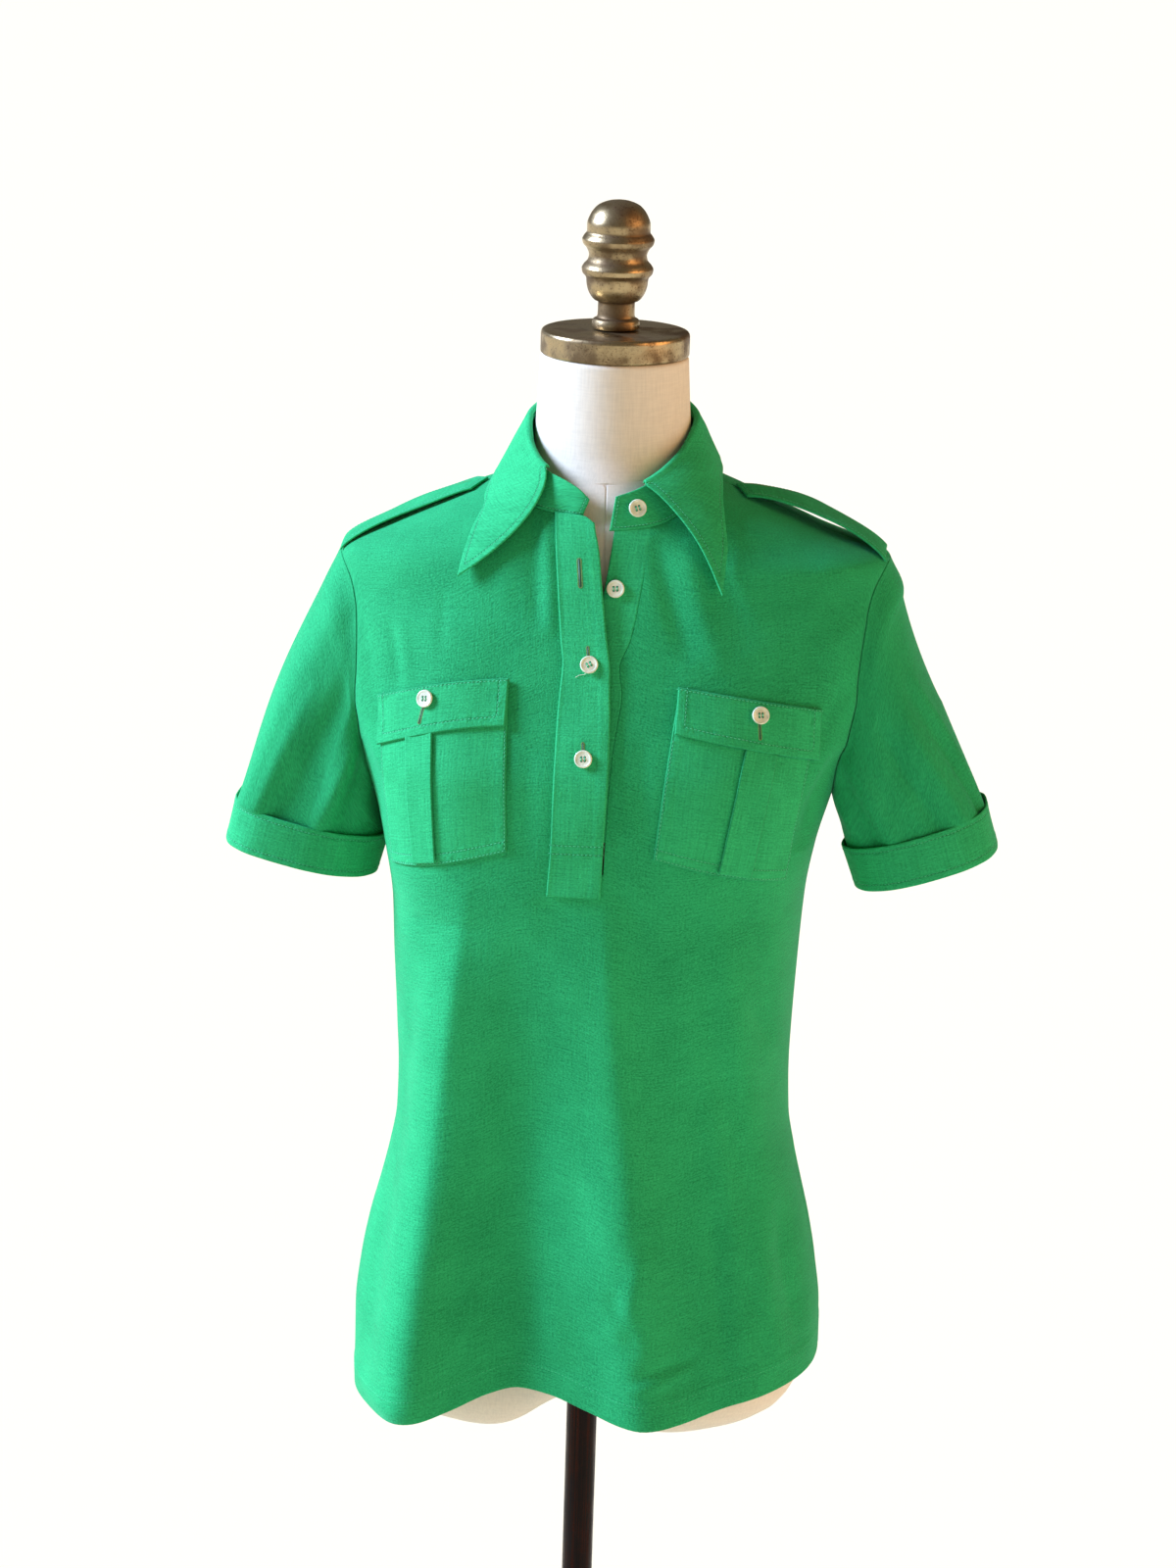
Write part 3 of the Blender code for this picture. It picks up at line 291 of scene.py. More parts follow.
def along(points: Array, axis: int) -> Array:
    """Return the distance run along a grid's rows or columns.

    Args:
        points: rows by columns by 3.
        axis: 0 to run down the columns, 1 to run along the rows.

    Returns:
        The distance from the first point of each line, in mm.
    """
    steps = np.linalg.norm(np.diff(points, axis=axis), axis=-1)
    start = np.zeros_like(np.take(steps, [0], axis=axis))
    return np.concatenate([start, np.cumsum(steps, axis=axis)], axis=axis)


def rim_gaps(grid: Array) -> tuple[Array, Array, Array, Array]:
    """Return the distance of every point to the first and last column and row."""
    across, down = along(grid, 1), along(grid, 0)
    return across, across[:, -1:] - across, down, down[-1:] - down


def to_line(points: Array, line: Array) -> Array:
    """Measure how far every point of a grid is from a line.

    Args:
        points: the grid.
        line: the line's points, in order.

    Returns:
        The distances, in mm.
    """
    starts = line[:-1]
    spans = np.diff(line, axis=0)
    square = np.maximum((spans ** 2).sum(-1), 1e-9)
    best = np.full(points.shape[:-1], np.inf)
    for start, span, size in zip(starts, spans, square):
        t = np.clip(((points - start) @ span) / size, 0, 1)
        gap = np.linalg.norm(points - start - t[..., None] * span, axis=-1)
        best = np.minimum(best, gap)
    return best


def wrapped(degrees: Number) -> Number:
    """Return the same angle between -180 and 180."""
    return (degrees + 180) % 360.0 - 180.0


def lean(x: Number, z: Number) -> Array:
    """Return the rise that the leaning shoulders give a point."""
    fade = np.clip((LEAN_FADE[1] - z) / (LEAN_FADE[1] - LEAN_FADE[0]), 0, 1)
    return LEAN * x * fade * fade * (3 - 2 * fade)


# --- creases ---
@dataclass(frozen=True)
class Crease:
    """A soft ridge or trough drawn on a panel.

    x0, z0 and x1, z1 are its ends, left and right its reach to either side as it is
    walked from the first end, lift its height and bow how far its middle bends.
    """

    x0: float
    z0: float
    x1: float
    z1: float
    left: float
    right: float
    lift: float
    bow: float = 0.0

    def height(self, x: Array, z: Array) -> Array:
        """Read the crease.

        Args:
            x, z: places on the front or the back.

        Returns:
            How far it lifts the cloth.
        """
        dx, dz = self.x1 - self.x0, self.z1 - self.z0
        length = math.hypot(dx, dz)
        ex, ez = dx / length, dz / length
        t = ((x - self.x0) * ex + (z - self.z0) * ez) / length
        inside = np.clip(t, 0, 1)
        off = (z - self.z0) * ex - (x - self.x0) * ez - self.bow * hump(inside)
        reach = np.where(off > 0, self.right, self.left)
        return self.lift * self.across(off, reach, t) * self.faded(t)

    def across(self, off: Array, reach: Array, t: Array) -> Array:
        """Return the profile at a distance off to the side."""
        return np.exp(-((off / reach) ** 2))

    def faded(self, t: Array) -> Array:
        """Return how much of it is left at a share of its length."""
        return hump(np.clip(t, 0, 1)) ** 0.7


@dataclass(frozen=True)
class Crest(Crease):
    """A ridge with straight flanks and a narrow edge that softens as it runs down."""

    edge: float = 3.0
    low_edge: float = 12.0
    low_fade: float = 0.2

    def across(self, off: Array, reach: Array, t: Array) -> Array:
        """Return the profile at a distance off to the side."""
        edge = self.edge + (self.low_edge - self.edge) * np.clip(t, 0, 1) ** 2
        return np.exp((edge - np.sqrt(off * off + edge * edge)) / reach)

    def faded(self, t: Array) -> Array:
        """Return how much of it is left at a share of its length."""
        return ramp(t, 0, 0.3) * ramp(1 - t, 0, self.low_fade)


def creases(*rows: Sequence[float]) -> tuple[Crease, ...]:
    """Return a crease for each row of its values, in the order of its fields."""
    return tuple(Crease(*row) for row in rows)


FRONT_CREASES = (
    Crest(-75, 965, -124, 520, 24, 15, 8, 3, 3, 9, 0.05),
    Crest(11, 960, 52, 585, 34, 13, 6.5, -2, 3, 11, 0.35),
    *creases(
        (-40, 900, -40, 600, 22, 22, -2.5), (-102, 1110, -98, 900, 36, 36, 5.5),
        (-116, 880, -150, 545, 13, 12, -5, -3), (104, 1100, 94, 905, 36, 36, 2),
        (90, 925, 138, 655, 10, 13, 3.4, -4), (-38, 1176, -29, 1098, 4, 5, 2.4, 1),
        (-47, 1174, -38, 1104, 5, 6, -1.6, 1), (-60, 1172, -62, 1110, 7, 7, 0.9),
        (38, 1164, 66, 1084, 7, 6, -2.4, -2), (56, 1162, 87, 1076, 7, 8, 2, -2),
        (76, 1156, 104, 1090, 8, 8, -1.3), (92, 1160, 150, 1142, 6, 7, -0.8),
        (-141, 1104, -129, 1052, 4, 4, -1, 1), (-133, 1104, -121, 1054, 4, 5, 0.8, 1),
        (-104, 1128, -101, 1078, 4, 4, -0.7), (-171, 1112, -150, 1062, 5, 6, -1.2, 2),
        (-160, 1066, -136, 1026, 5, 5, -1.6, 2), (-164, 1046, -143, 1000, 5, 5, 1.3, 2),
        (-158, 1018, -140, 962, 6, 6, -2.6, 2), (172, 1066, 152, 1026, 6, 5, -1.8, -2),
        (166, 1042, 150, 990, 5, 5, 1.5, -2), (167, 1016, 143, 948, 8, 7, -7, -2),
        (176, 1106, 150, 1080, 7, 7, 0.9), (50, 672, 34, 604, 7, 8, 2.2), (28, 640, 46, 592, 6, 6, -1.9),
        (44, 576, 92, 590, 4, 5, -1.5), (40, 566, 88, 580, 4, 5, 1.2),
        (136, 690, 160, 574, 5, 6, -2.8, -2), (122, 690, 147, 566, 6, 7, 2.4, -2),
        (93, 690, 108, 570, 7, 7, -1.9), (84, 800, 118, 640, 8, 8, 1.6, -2), (76, 640, 84, 585, 5, 5, 0.8),
        (-131, 874, -148, 630, 6, 6, -1.2, -3), (-118, 884, -138, 690, 7, 7, 1, -3),
        (112, 846, 128, 806, 6, 6, -1.3), (126, 905, 134, 800, 6, 6, 0.9), (36, 1040, 41, 958, 5, 5, -0.9),
        (-39, 1030, -36, 948, 5, 5, -0.8), (-22, 640, -6, 575, 8, 8, 0.9),
        (-60, 640, -52, 580, 7, 7, -0.9), (-34, 922, 0, 908, 4, 5, -0.9, 2),
        (16, 936, 44, 900, 5, 5, -0.8, 2),
    ),
)
BACK_CREASES = (
    Crest(-74, 950, -98, 530, 18, 24, 5, 4), Crest(58, 950, 84, 530, 24, 18, 5.5, -3),
    *creases(
        (-44, 900, -52, 600, 12, 12, -1.6, 3), (24, 860, 38, 590, 11, 11, -1.4, -3),
        (-118, 840, -60, 812, 7, 8, -1.6, 4), (116, 836, 54, 800, 8, 7, -1.8, -5),
        (-104, 800, -48, 776, 7, 8, 1.2, 4), (108, 790, 40, 764, 8, 7, 1.3, -4),
        (-168, 1070, -132, 1016, 6, 6, -1.8, -4), (-160, 1030, -130, 972, 6, 6, 1.4, -3),
        (176, 1074, 136, 1014, 6, 6, -1.8, 4), (166, 1030, 134, 968, 6, 6, 1.4, 3),
        (-70, 1150, -30, 1060, 9, 9, 1, 5), (74, 1150, 34, 1056, 9, 9, 1.1, -5),
        (-130, 640, -118, 560, 7, 7, -1.2), (128, 650, 118, 570, 7, 7, -1.2),
    ),
)


def ripple(x: Array, z: Array) -> Array:
    """Return the faint unevenness that all hanging cloth has, in mm."""
    slow = np.sin(x / 21.0 + 1.7) * np.sin(z / 47.0 + 0.4)
    mixed = np.sin(x / 9.5 - z / 33) * np.sin(z / 61.0 + 2.1)
    fine = np.sin(x / 5.5 + z / 24.0 + 0.8) * np.sin(x / 27.0 - z / 19)
    return 0.34 * slow + 0.20 * mixed + 0.09 * fine


# --- the surface of the body ---
class Skin:
    """A closed surface through level super-ellipse sections, with folds and creases."""

    def __init__(self, rows: Table, folds: Sequence[Table] = ((), ()),
                 marked: Sequence[Sequence[Crease]] = ((), ())) -> None:
        """Keep the tables.

        Args:
            rows: the sections.
            folds: the large folds of the front and of the back.
            marked: the small creases of the front and of the back.
        """
        self.width, self.centre = column(rows, 1), column(rows, 2)
        self.depths = (column(rows, 3), column(rows, 4))
        self.powers = (column(rows, 5), column(rows, 6))
        self.folds = folds
        self.marked = marked

    def fold_lift(self, x: Array, z: Array, share: Array, side: int) -> Array:
        """Read the large folds of one side.

        Args:
            x, z: the places.
            share: how far toward the side line each is, from 0 to 1.
            side: the side that is read.

        Returns:
            How far they push the surface out.
        """
        lift = np.zeros(np.broadcast(x, z).shape)
        for top_x, top_z, low_x, low_z, reach, height in self.folds[side]:
            t = np.clip((top_z - z) / (top_z - low_z), 0, FOLD_RUN)
            grown = ramp(t, 0, 1)
            across = (x - top_x - (low_x - top_x) * t) / reach
            lift = lift + height * grown * np.exp(-across * across)
        return lift * (1 - np.abs(share) ** FOLD_SIDE_POWER)

    def spread(self, angle: Array, z: Array) -> tuple[Array, Array, Array, Array]:
        """Split points into front and back, and spread them over the width.

        Args:
            angle: degrees from the centre front.
            z: heights.

        Returns:
            Which points are at the front, their power, share of the width and x.
        """
        turn = np.radians(angle)
        ahead = np.cos(turn) >= 0
        power = np.where(ahead, self.powers[0](z), self.powers[1](z))
        share = np.sign(np.sin(turn)) * np.abs(np.sin(turn)) ** (2 / power)
        return ahead, power, share, self.centre(z) + self.width(z) * share

    def point(self, angle: Array, z: Array) -> Array:
        """Find points of the surface.

        Args:
            angle: degrees from the centre front.
            z: heights.

        Returns:
            The points.
        """
        ahead, power, share, x = self.spread(angle, z)
        depth = np.where(ahead, self.depths[0](z), self.depths[1](z))
        y = depth * np.abs(np.cos(np.radians(angle))) ** (2 / power)
        lift = np.where(ahead, self.fold_lift(x, z, share, 0), self.fold_lift(x, z, share, 1))
        y = np.where(ahead, -y - lift, y + lift)
        return np.stack([x, y, z + lean(x, z)], axis=-1)

    def normal(self, angle: Array, z: Array) -> Array:
        """Return the outward normal at an angle and a height, before creases."""
        across = self.point(angle + ANGLE_STEP, z) - self.point(angle - ANGLE_STEP, z)
        upward = self.point(angle, z + HEIGHT_STEP) - self.point(angle, z - HEIGHT_STEP)
        return unit(np.cross(across, upward))

    def relief(self, angle: Array, z: Array) -> Array:
        """Read all creases.

        Args:
            angle: degrees from the centre front.
            z: heights.

        Returns:
            How far they lift the cloth.
        """
        ahead, _, share, x = self.spread(angle, z)
        total = np.zeros(np.broadcast(x, z).shape)
        for side, here in ((0, ahead), (1, ~ahead)):
            lift = sum((c.height(x, z) for c in self.marked[side]), ripple(x, z + 300.0 * side))
            total = np.where(here, lift, total)
        at_seam = 1 - np.abs(share) ** 24
        return total * at_seam * ramp(SIDE_NECK_Z + 12.0 - z, 0, 26)

    def shaped(self, angle: Array, z: Array, out: Number = 0) -> Array:
        """Return the creased surface, moved out by a distance."""
        lift = np.asarray(self.relief(angle, z) + out)
        return self.point(angle, z) + self.normal(angle, z) * lift[..., None]

    def angle_at_x(self, x: Array, z: Array) -> Array:
        """Return the angle of the front point at x."""
        share = np.clip((x - self.centre(z)) / self.width(z), -1, 1)
        turn = np.arcsin(np.abs(share) ** (self.powers[0](z) / 2))
        return np.degrees(np.sign(share) * turn)

    def angle_at_y(self, y: Array, z: Array) -> Array:
        """Find the angle of a depth, before folds.

        Args:
            y: depths.
            z: heights.

        Returns:
            The angles, without their sign.
        """
        front = (np.abs(y) / self.depths[0](z)) ** (self.powers[0](z) / 2)
        back = (np.abs(y) / self.depths[1](z)) ** (self.powers[1](z) / 2)
        ahead = np.degrees(np.arccos(np.clip(front, 0, 1)))
        behind = 180.0 - np.degrees(np.arccos(np.clip(back, 0, 1)))
        return np.where(y <= 0, ahead, behind)

    def on_front(self, x: Array, z: Array, out: Number) -> Array:
        """Return the front's point over x and a height, moved out by a distance."""
        return self.shaped(self.angle_at_x(x, z), z, out)


CLOTH = Skin(CLOTH_SECTIONS, (FRONT_FOLDS, BACK_FOLDS), (FRONT_CREASES, BACK_CREASES))
FORM = Skin(FORM_SECTIONS)
NECK_Z = column(NECKLINE, 1)


# --- shader maths ---
def operator(operation: str, swapped: bool = False) -> Callable[["Expr", object], "Expr"]:
    """Return the method of an operator.

    Args:
        operation: the Math node's operation.
        swapped: whether the other value comes first.

    Returns:
        A method that takes the other value.
    """
    def method(self: "Expr", other: Union["Expr", float]) -> "Expr":
        """Return the result with another value."""
        return self.math(operation, *((other, self) if swapped else (self, other)))

    return method


class Expr:
    """A number in a shader. Sums and products of such numbers add Math nodes."""

    def __init__(self, graph: "Graph", socket: Socket) -> None:
        """Wrap a socket of a graph."""
        self.graph = graph
        self.socket = socket

    def math(self, operation: str, *values: Union["Expr", float]) -> "Expr":
        """Return the result of a Math node over the given values."""
        made = self.graph.node("ShaderNodeMath", {"operation": operation}, dict(enumerate(values)))
        return Expr(self.graph, made.outputs[0])

    __add__, __radd__ = operator("ADD"), operator("ADD", True)
    __sub__, __rsub__ = operator("SUBTRACT"), operator("SUBTRACT", True)
    __mul__, __rmul__ = operator("MULTIPLY"), operator("MULTIPLY", True)
    __truediv__, __rtruediv__ = operator("DIVIDE"), operator("DIVIDE", True)

    def bell(self, reach: float) -> "Expr":
        """Return a hump that is 1 where this number is 0 and dies away past reach."""
        scaled = self / reach
        return self.math("EXPONENT", scaled * scaled * -1)

    def wave(self, period: float) -> "Expr":
        """Return a sine of this number."""
        return self.math("SINE", self * (2 * math.pi / period))

    def rise(self, low: float, high: float) -> "Expr":
        """Return a smooth rise from 0 at low to 1 at high."""
        settings = {"interpolation_type": "SMOOTHSTEP"}
        sockets = {"Value": self, "From Min": low, "From Max": high}
        return Expr(self.graph, self.graph.node("ShaderNodeMapRange", settings, sockets).outputs[0])


class Nodes:
    """A node tree and the way to add to it."""

    def __init__(self, tree: bpy.types.NodeTree) -> None:
        """Keep the tree."""
        self.tree = tree

    def node(self, kind: str, settings: Optional[dict] = None,
             sockets: Optional[dict] = None) -> bpy.types.Node:
        """Add a node.

        Args:
            kind: the node's type.
            settings: its own properties, set first.
            sockets: values or links of its inputs, by name or number.

        Returns:
            The node.
        """
        made = self.tree.nodes.new(kind)
        for key, value in (settings or {}).items():
            setattr(made, key, value)
        for key, value in (sockets or {}).items():
            self.feed(made.inputs[key], value)
        return made

    def feed(self, socket: Socket, value: object) -> None:
        """Link an input, or set its value.

        Args:
            socket: the input.
            value: an expression, a socket or a plain value.
        """
        if isinstance(value, Expr):
            value = value.socket
        if isinstance(value, Socket):
            self.tree.links.new(value, socket)
        else:
            socket.default_value = value


class Graph(Nodes):
    """The node tree of one material, with its Principled shader."""

    def __init__(self, name: str) -> None:
        """Make a material with a Principled shader and an output."""
        self.material = bpy.data.materials.new(name)
        self.material.use_nodes = True
        super().__init__(self.material.node_tree)
        self.shader = self.tree.nodes["Principled BSDF"]

    def attribute(self, name: str) -> Expr:
        """Return a mesh attribute as a number."""
        made = self.node("ShaderNodeAttribute", {"attribute_name": name})
        return Expr(self, made.outputs["Fac"])

    def place(self) -> Socket:
        """Return the Object coordinates."""
        return self.node("ShaderNodeTexCoord").outputs["Object"]

    def split(self, vector: Socket) -> tuple[Expr, Expr, Expr]:
        """Return the three parts of a vector."""
        made = self.node("ShaderNodeSeparateXYZ", None, {0: vector})
        return tuple(Expr(self, out) for out in made.outputs)

    def joined(self, x: object, y: object, z: object = 0) -> Socket:
        """Return a vector of three numbers."""
        return self.node("ShaderNodeCombineXYZ", None, {0: x, 1: y, 2: z}).outputs[0]

    def noise(self, vector: Socket, scale: float, detail: float = 2) -> Expr:
        """Return noise between about 0 and 1."""
        sockets = {"Vector": vector, "Scale": scale, "Detail": detail}
        return Expr(self, self.node("ShaderNodeTexNoise", None, sockets).outputs[0])

    def mix(self, factor: object, first: object, second: object) -> Socket:
        """Return the mix of two colours."""
        made = self.node("ShaderNodeMix", {"data_type": "RGBA"}, {0: factor, 6: first, 7: second})
        return made.outputs[2]

    def bump(self, height: Expr, distance: float) -> None:
        """Send a height to the shader's normal, as a bump of that many metres."""
        made = self.node("ShaderNodeBump", None, {"Height": height, "Distance": distance})
        self.feed(self.shader.inputs["Normal"], made.outputs[0])

    def set(self, **values: object) -> None:
        """Set or link the shader's inputs, named with _ for a space."""
        for key, value in values.items():
            self.feed(self.shader.inputs[key.replace("_", " ")], value)


def rgba(colour: Sequence[float], gain: float = 1) -> tuple[float, ...]:
    """Return a linear colour with full cover, made lighter or darker."""
    return tuple(min(1, c * gain) for c in colour) + (1,)


# --- finishes ---
class Weave(Enum):
    """How a cloth is made, as the width and height of its cell in metres."""

    KNIT = (0.00105, 0.00085)
    WOVEN = (0.00062, 0.00062)


@dataclass(frozen=True)
class Finish:
    """What a piece's surface is."""

    name: str

    def material(self) -> Material:
        """Return its material."""
        raise NotImplementedError


@dataclass(frozen=True)
class Cloth(Finish):
    """Dyed cloth with slubs, a fine cell and pressed stitch lines, with painted shade in the stitch lines and
    along the seams.
    """

    weave: Weave
    colour: Colour
    slub: float
    grain: float
    sheen: float

    def material(self) -> Material:
        """Make the cloth's material. It reads the UV map, in metres, the stitch lines and the seams, and
        paints shade along them.

        Returns:
            The material.
        """
        g = Graph(self.name)
        u, v, _ = g.split(g.node("ShaderNodeUVMap", {"uv_map": "cloth"}).outputs[0])
        cross = g.noise(g.joined(u * 60, v * 1150), 1, 3)
        thread = g.noise(g.joined(u * 900, v * 34, 3), 1, 2)
        cloud = g.noise(g.joined(u * 22, v * 22, 7), 1, 2)
        fuzz = g.noise(g.joined(u * 1500, v * 1500, 5), 1, 1)
        wide, tall = self.weave.value
        cell = u.wave(wide) * 0.5 + v.wave(tall) * 0.5
        streak = cross * 0.7 + thread * (0.6 if self.weave is Weave.WOVEN else 0.25)
        grain = g.noise(g.joined(u * 640, v * 820, 9), 1, 1)
        tone = ((streak - 0.55) * self.slub + (cloud - 0.5) * 0.38 + (fuzz - 0.5) * 0.5
                + (grain - 0.5) * self.grain + cell * 0.03 + 0.42)
        stitch_dent_and_shade = g.attribute("stitch_a").bell(0.5) + g.attribute("stitch_b").bell(0.5)
        near = g.attribute("stitch_a").bell(3.2) + g.attribute("stitch_b").bell(3.2)
        seam_dent_and_shade = g.attribute("seam").bell(0.55)
        pucker = g.noise(g.joined(u * 190, v * 190, 11), 1, 1) - 0.5
        pale = tuple(c * 1.55 + 0.022 for c in self.colour)
        shade = g.mix(tone, rgba(self.colour, 0.60), rgba(pale))
        # painted shade: the stitch channels and the seams are darkened toward a deep green
        shade = g.mix(stitch_dent_and_shade * 0.34 + seam_dent_and_shade * 0.40, shade, rgba(self.colour, 0.35))
        g.set(Base_Color=shade, Roughness=fuzz * 0.12 + 0.72, Sheen_Weight=self.sheen,
              Sheen_Roughness=0.38, Sheen_Tint=(0.30, 1, 0.80, 1), Specular_IOR_Level=0.12)
        height = cell * 0.16 + cross * 0.9 + thread * 0.5 + fuzz * 0.6 + grain * 1.3 - stitch_dent_and_shade * 1.4
        g.bump(height + pucker * near * 6.0 - seam_dent_and_shade * 2, 0.00022)
        return g.material


@dataclass(frozen=True)
class Thread(Finish):
    """Sewing thread, and the painted shade in the buttonhole slits."""

    colour: Colour

    def material(self) -> Material:
        """Make the thread's material.

        Returns:
            The material.
        """
        g = Graph(self.name)
        place = g.place()
        tone = g.noise(place, 900, 1)
        g.set(Base_Color=g.mix(tone, rgba(self.colour, 0.8), rgba(self.colour, 1.2)), Roughness=0.6,
              Sheen_Weight=0.2)
        return g.material


@dataclass(frozen=True)
class Linen(Finish):
    """Fine cream linen stretched over padding."""

    colour: Colour

    def material(self) -> Material:
        """Make the linen's material. It reads Object coordinates and the seam lines.

        Returns:
            The material.
        """
        g = Graph(self.name)
        place = g.place()
        x, y, z = g.split(place)
        warp = g.noise(g.joined(x, y, z * 0.06), 800, 3)
        weft = g.noise(g.joined(x * 0.12, y * 0.12, z), 760, 3)
        stain = g.noise(place, 9, 3)
        tone = warp.rise(0.30, 0.70) * 0.30 + weft.rise(0.30, 0.70) * 0.22 + stain * 0.30 + 0.09
        seam = g.attribute("stitch_a").bell(0.5)
        shade = g.mix(tone, rgba(self.colour, 0.84), rgba(self.colour, 1.08))
        shade = g.mix(seam * 0.32, shade, rgba((0.36, 0.28, 0.22)))
        g.set(Base_Color=shade, Roughness=0.86)
        g.bump(warp * 0.6 + weft * 0.4 - seam * 2.2, 0.00016)
        return g.material


@dataclass(frozen=True)
class AgedMetal(Finish):
    """Metal with a darker, rougher film in its hollows and fine marks from handling."""

    bright: Colour
    film: Colour
    roughness: float
    cover: float
    drawn: bool = False

    def material(self) -> Material:
        """Make the metal's material. It reads Object coordinates and the hollows.

        Returns:
            The material.
        """
        g = Graph(self.name)
        place = g.place()
        x, y, z = g.split(place)
        cloud = g.noise(place, 55, 4)
        marks_way = g.joined(x, y, z * 0.01) if self.drawn else g.joined(x * 0.06, y * 0.06, z)
        turned = g.noise(marks_way, 900.0 if self.drawn else 2600, 2)
        speck = g.noise(place, 700, 2)
        hollow = g.attribute("hollow")
        aged = cloud.rise(0.32, 0.68) * self.cover + hollow * 1.2 + speck.rise(0.55, 0.68) * 0.35
        if self.drawn:
            aged = aged + turned.rise(0.40, 0.60) * 0.6
        aged = aged.rise(0, 1)
        g.set(Base_Color=g.mix(aged, rgba(self.bright), rgba(self.film)), Metallic=1.0 - aged * 0.25,
              Roughness=aged * 0.22 + turned * (0.3 if self.drawn else 0.06) + self.roughness)
        g.bump(turned * 0.4 + speck * 0.8 + cloud * 0.9, 0.00010)
        return g.material


@dataclass(frozen=True)
class Pearl(Finish):
    """Pearly button stock, cloudy and glossy."""

    colour: Colour

    def material(self) -> Material:
        """Make the button's material.

        Returns:
            The material.
        """
        g = Graph(self.name)
        place = g.place()
        cloud = g.noise(place, 230, 3)
        shade = g.mix(cloud.rise(0.3, 0.7), rgba(self.colour, 0.86), rgba(self.colour, 1.12))
        g.set(Base_Color=shade, Roughness=0.24, Coat_Weight=0.4, Coat_Roughness=0.12,
              Subsurface_Weight=0.15, Subsurface_Radius=(0.002, 0.002, 0.0015))
        g.bump(cloud, 0.00005)
        return g.material


GREEN = Cloth("kelly_green_jersey", Weave.KNIT, (0.011, 0.376, 0.125), 0.95, 0.95, 0.22)
WOVEN_GREEN = Cloth("kelly_green_woven", Weave.WOVEN, (0.012, 0.370, 0.124), 1.00, 0.80, 0.15)
GREEN_THREAD = Thread("green_thread", (0.060, 0.600, 0.290))
TAN_THREAD = Thread("tan_thread", (0.19, 0.28, 0.06))
PALE_THREAD = Thread("pale_thread", (0.62, 0.66, 0.48))
# painted shade: the dark sheet laid in each buttonhole's slit
SLIT_SHADE = Thread("slit_shade", (0.003, 0.070, 0.026))
LINEN = Linen("cream_linen", (0.77, 0.70, 0.575))
BRASS = AgedMetal("antique_brass", (0.44, 0.335, 0.185), (0.13, 0.082, 0.038), 0.25, 0.85)
BRONZE = AgedMetal("dark_bronze", (0.030, 0.011, 0.008), (0.004, 0.0015, 0.001), 0.14, 0.50, True)
PEARL = Pearl("pearl_cream", (0.72, 0.76, 0.57))


@cache
def dyed(finish: Finish) -> Material:
    """Make a finish's material, once."""
    return finish.material()


# --- meshes ---
def put(name: str, data: bpy.types.ID) -> Thing:
    """Add an object with its data to the scene."""
    made = bpy.data.objects.new(name, data)
    bpy.context.scene.collection.objects.link(made)
    return made


def add_object(name: str, points: Array, faces: Sequence[Sequence[int]], finish: Finish,
               uv: Optional[Array] = None, numbers: Optional[dict[str, Array]] = None) -> Thing:
    """Make an object from points in millimetres.

    Args:
        name: the object's name.
        points: the points, N by 3.
        faces: point numbers of each face.
        finish: its finish.
        uv: places on the flat cloth, N by 2, in mm.
        numbers: values to keep at each point, by name.

    Returns:
        The smooth-shaded object.
    """
    mesh = bpy.data.meshes.new(name)
    mesh.from_pydata((np.asarray(points) * MM).tolist(), [], faces)
    mesh.polygons.foreach_set("use_smooth", np.ones(len(mesh.polygons), bool))
    corner = np.empty(len(mesh.loops), np.int32)
    mesh.loops.foreach_get("vertex_index", corner)
    if uv is not None:
        layer = mesh.uv_layers.new(name="cloth")
        layer.data.foreach_set("uv", (np.asarray(uv)[corner] * MM).astype(np.float32).ravel())
    for key, values in (numbers or {}).items():
        kept = mesh.attributes.new(key, "FLOAT", "POINT")
        kept.data.foreach_set("value", np.asarray(values, np.float32).ravel())
    mesh.materials.append(dyed(finish))
    mesh.update()
    return put(name, mesh)


FAR = 99.0            # a stitch line that isn't there


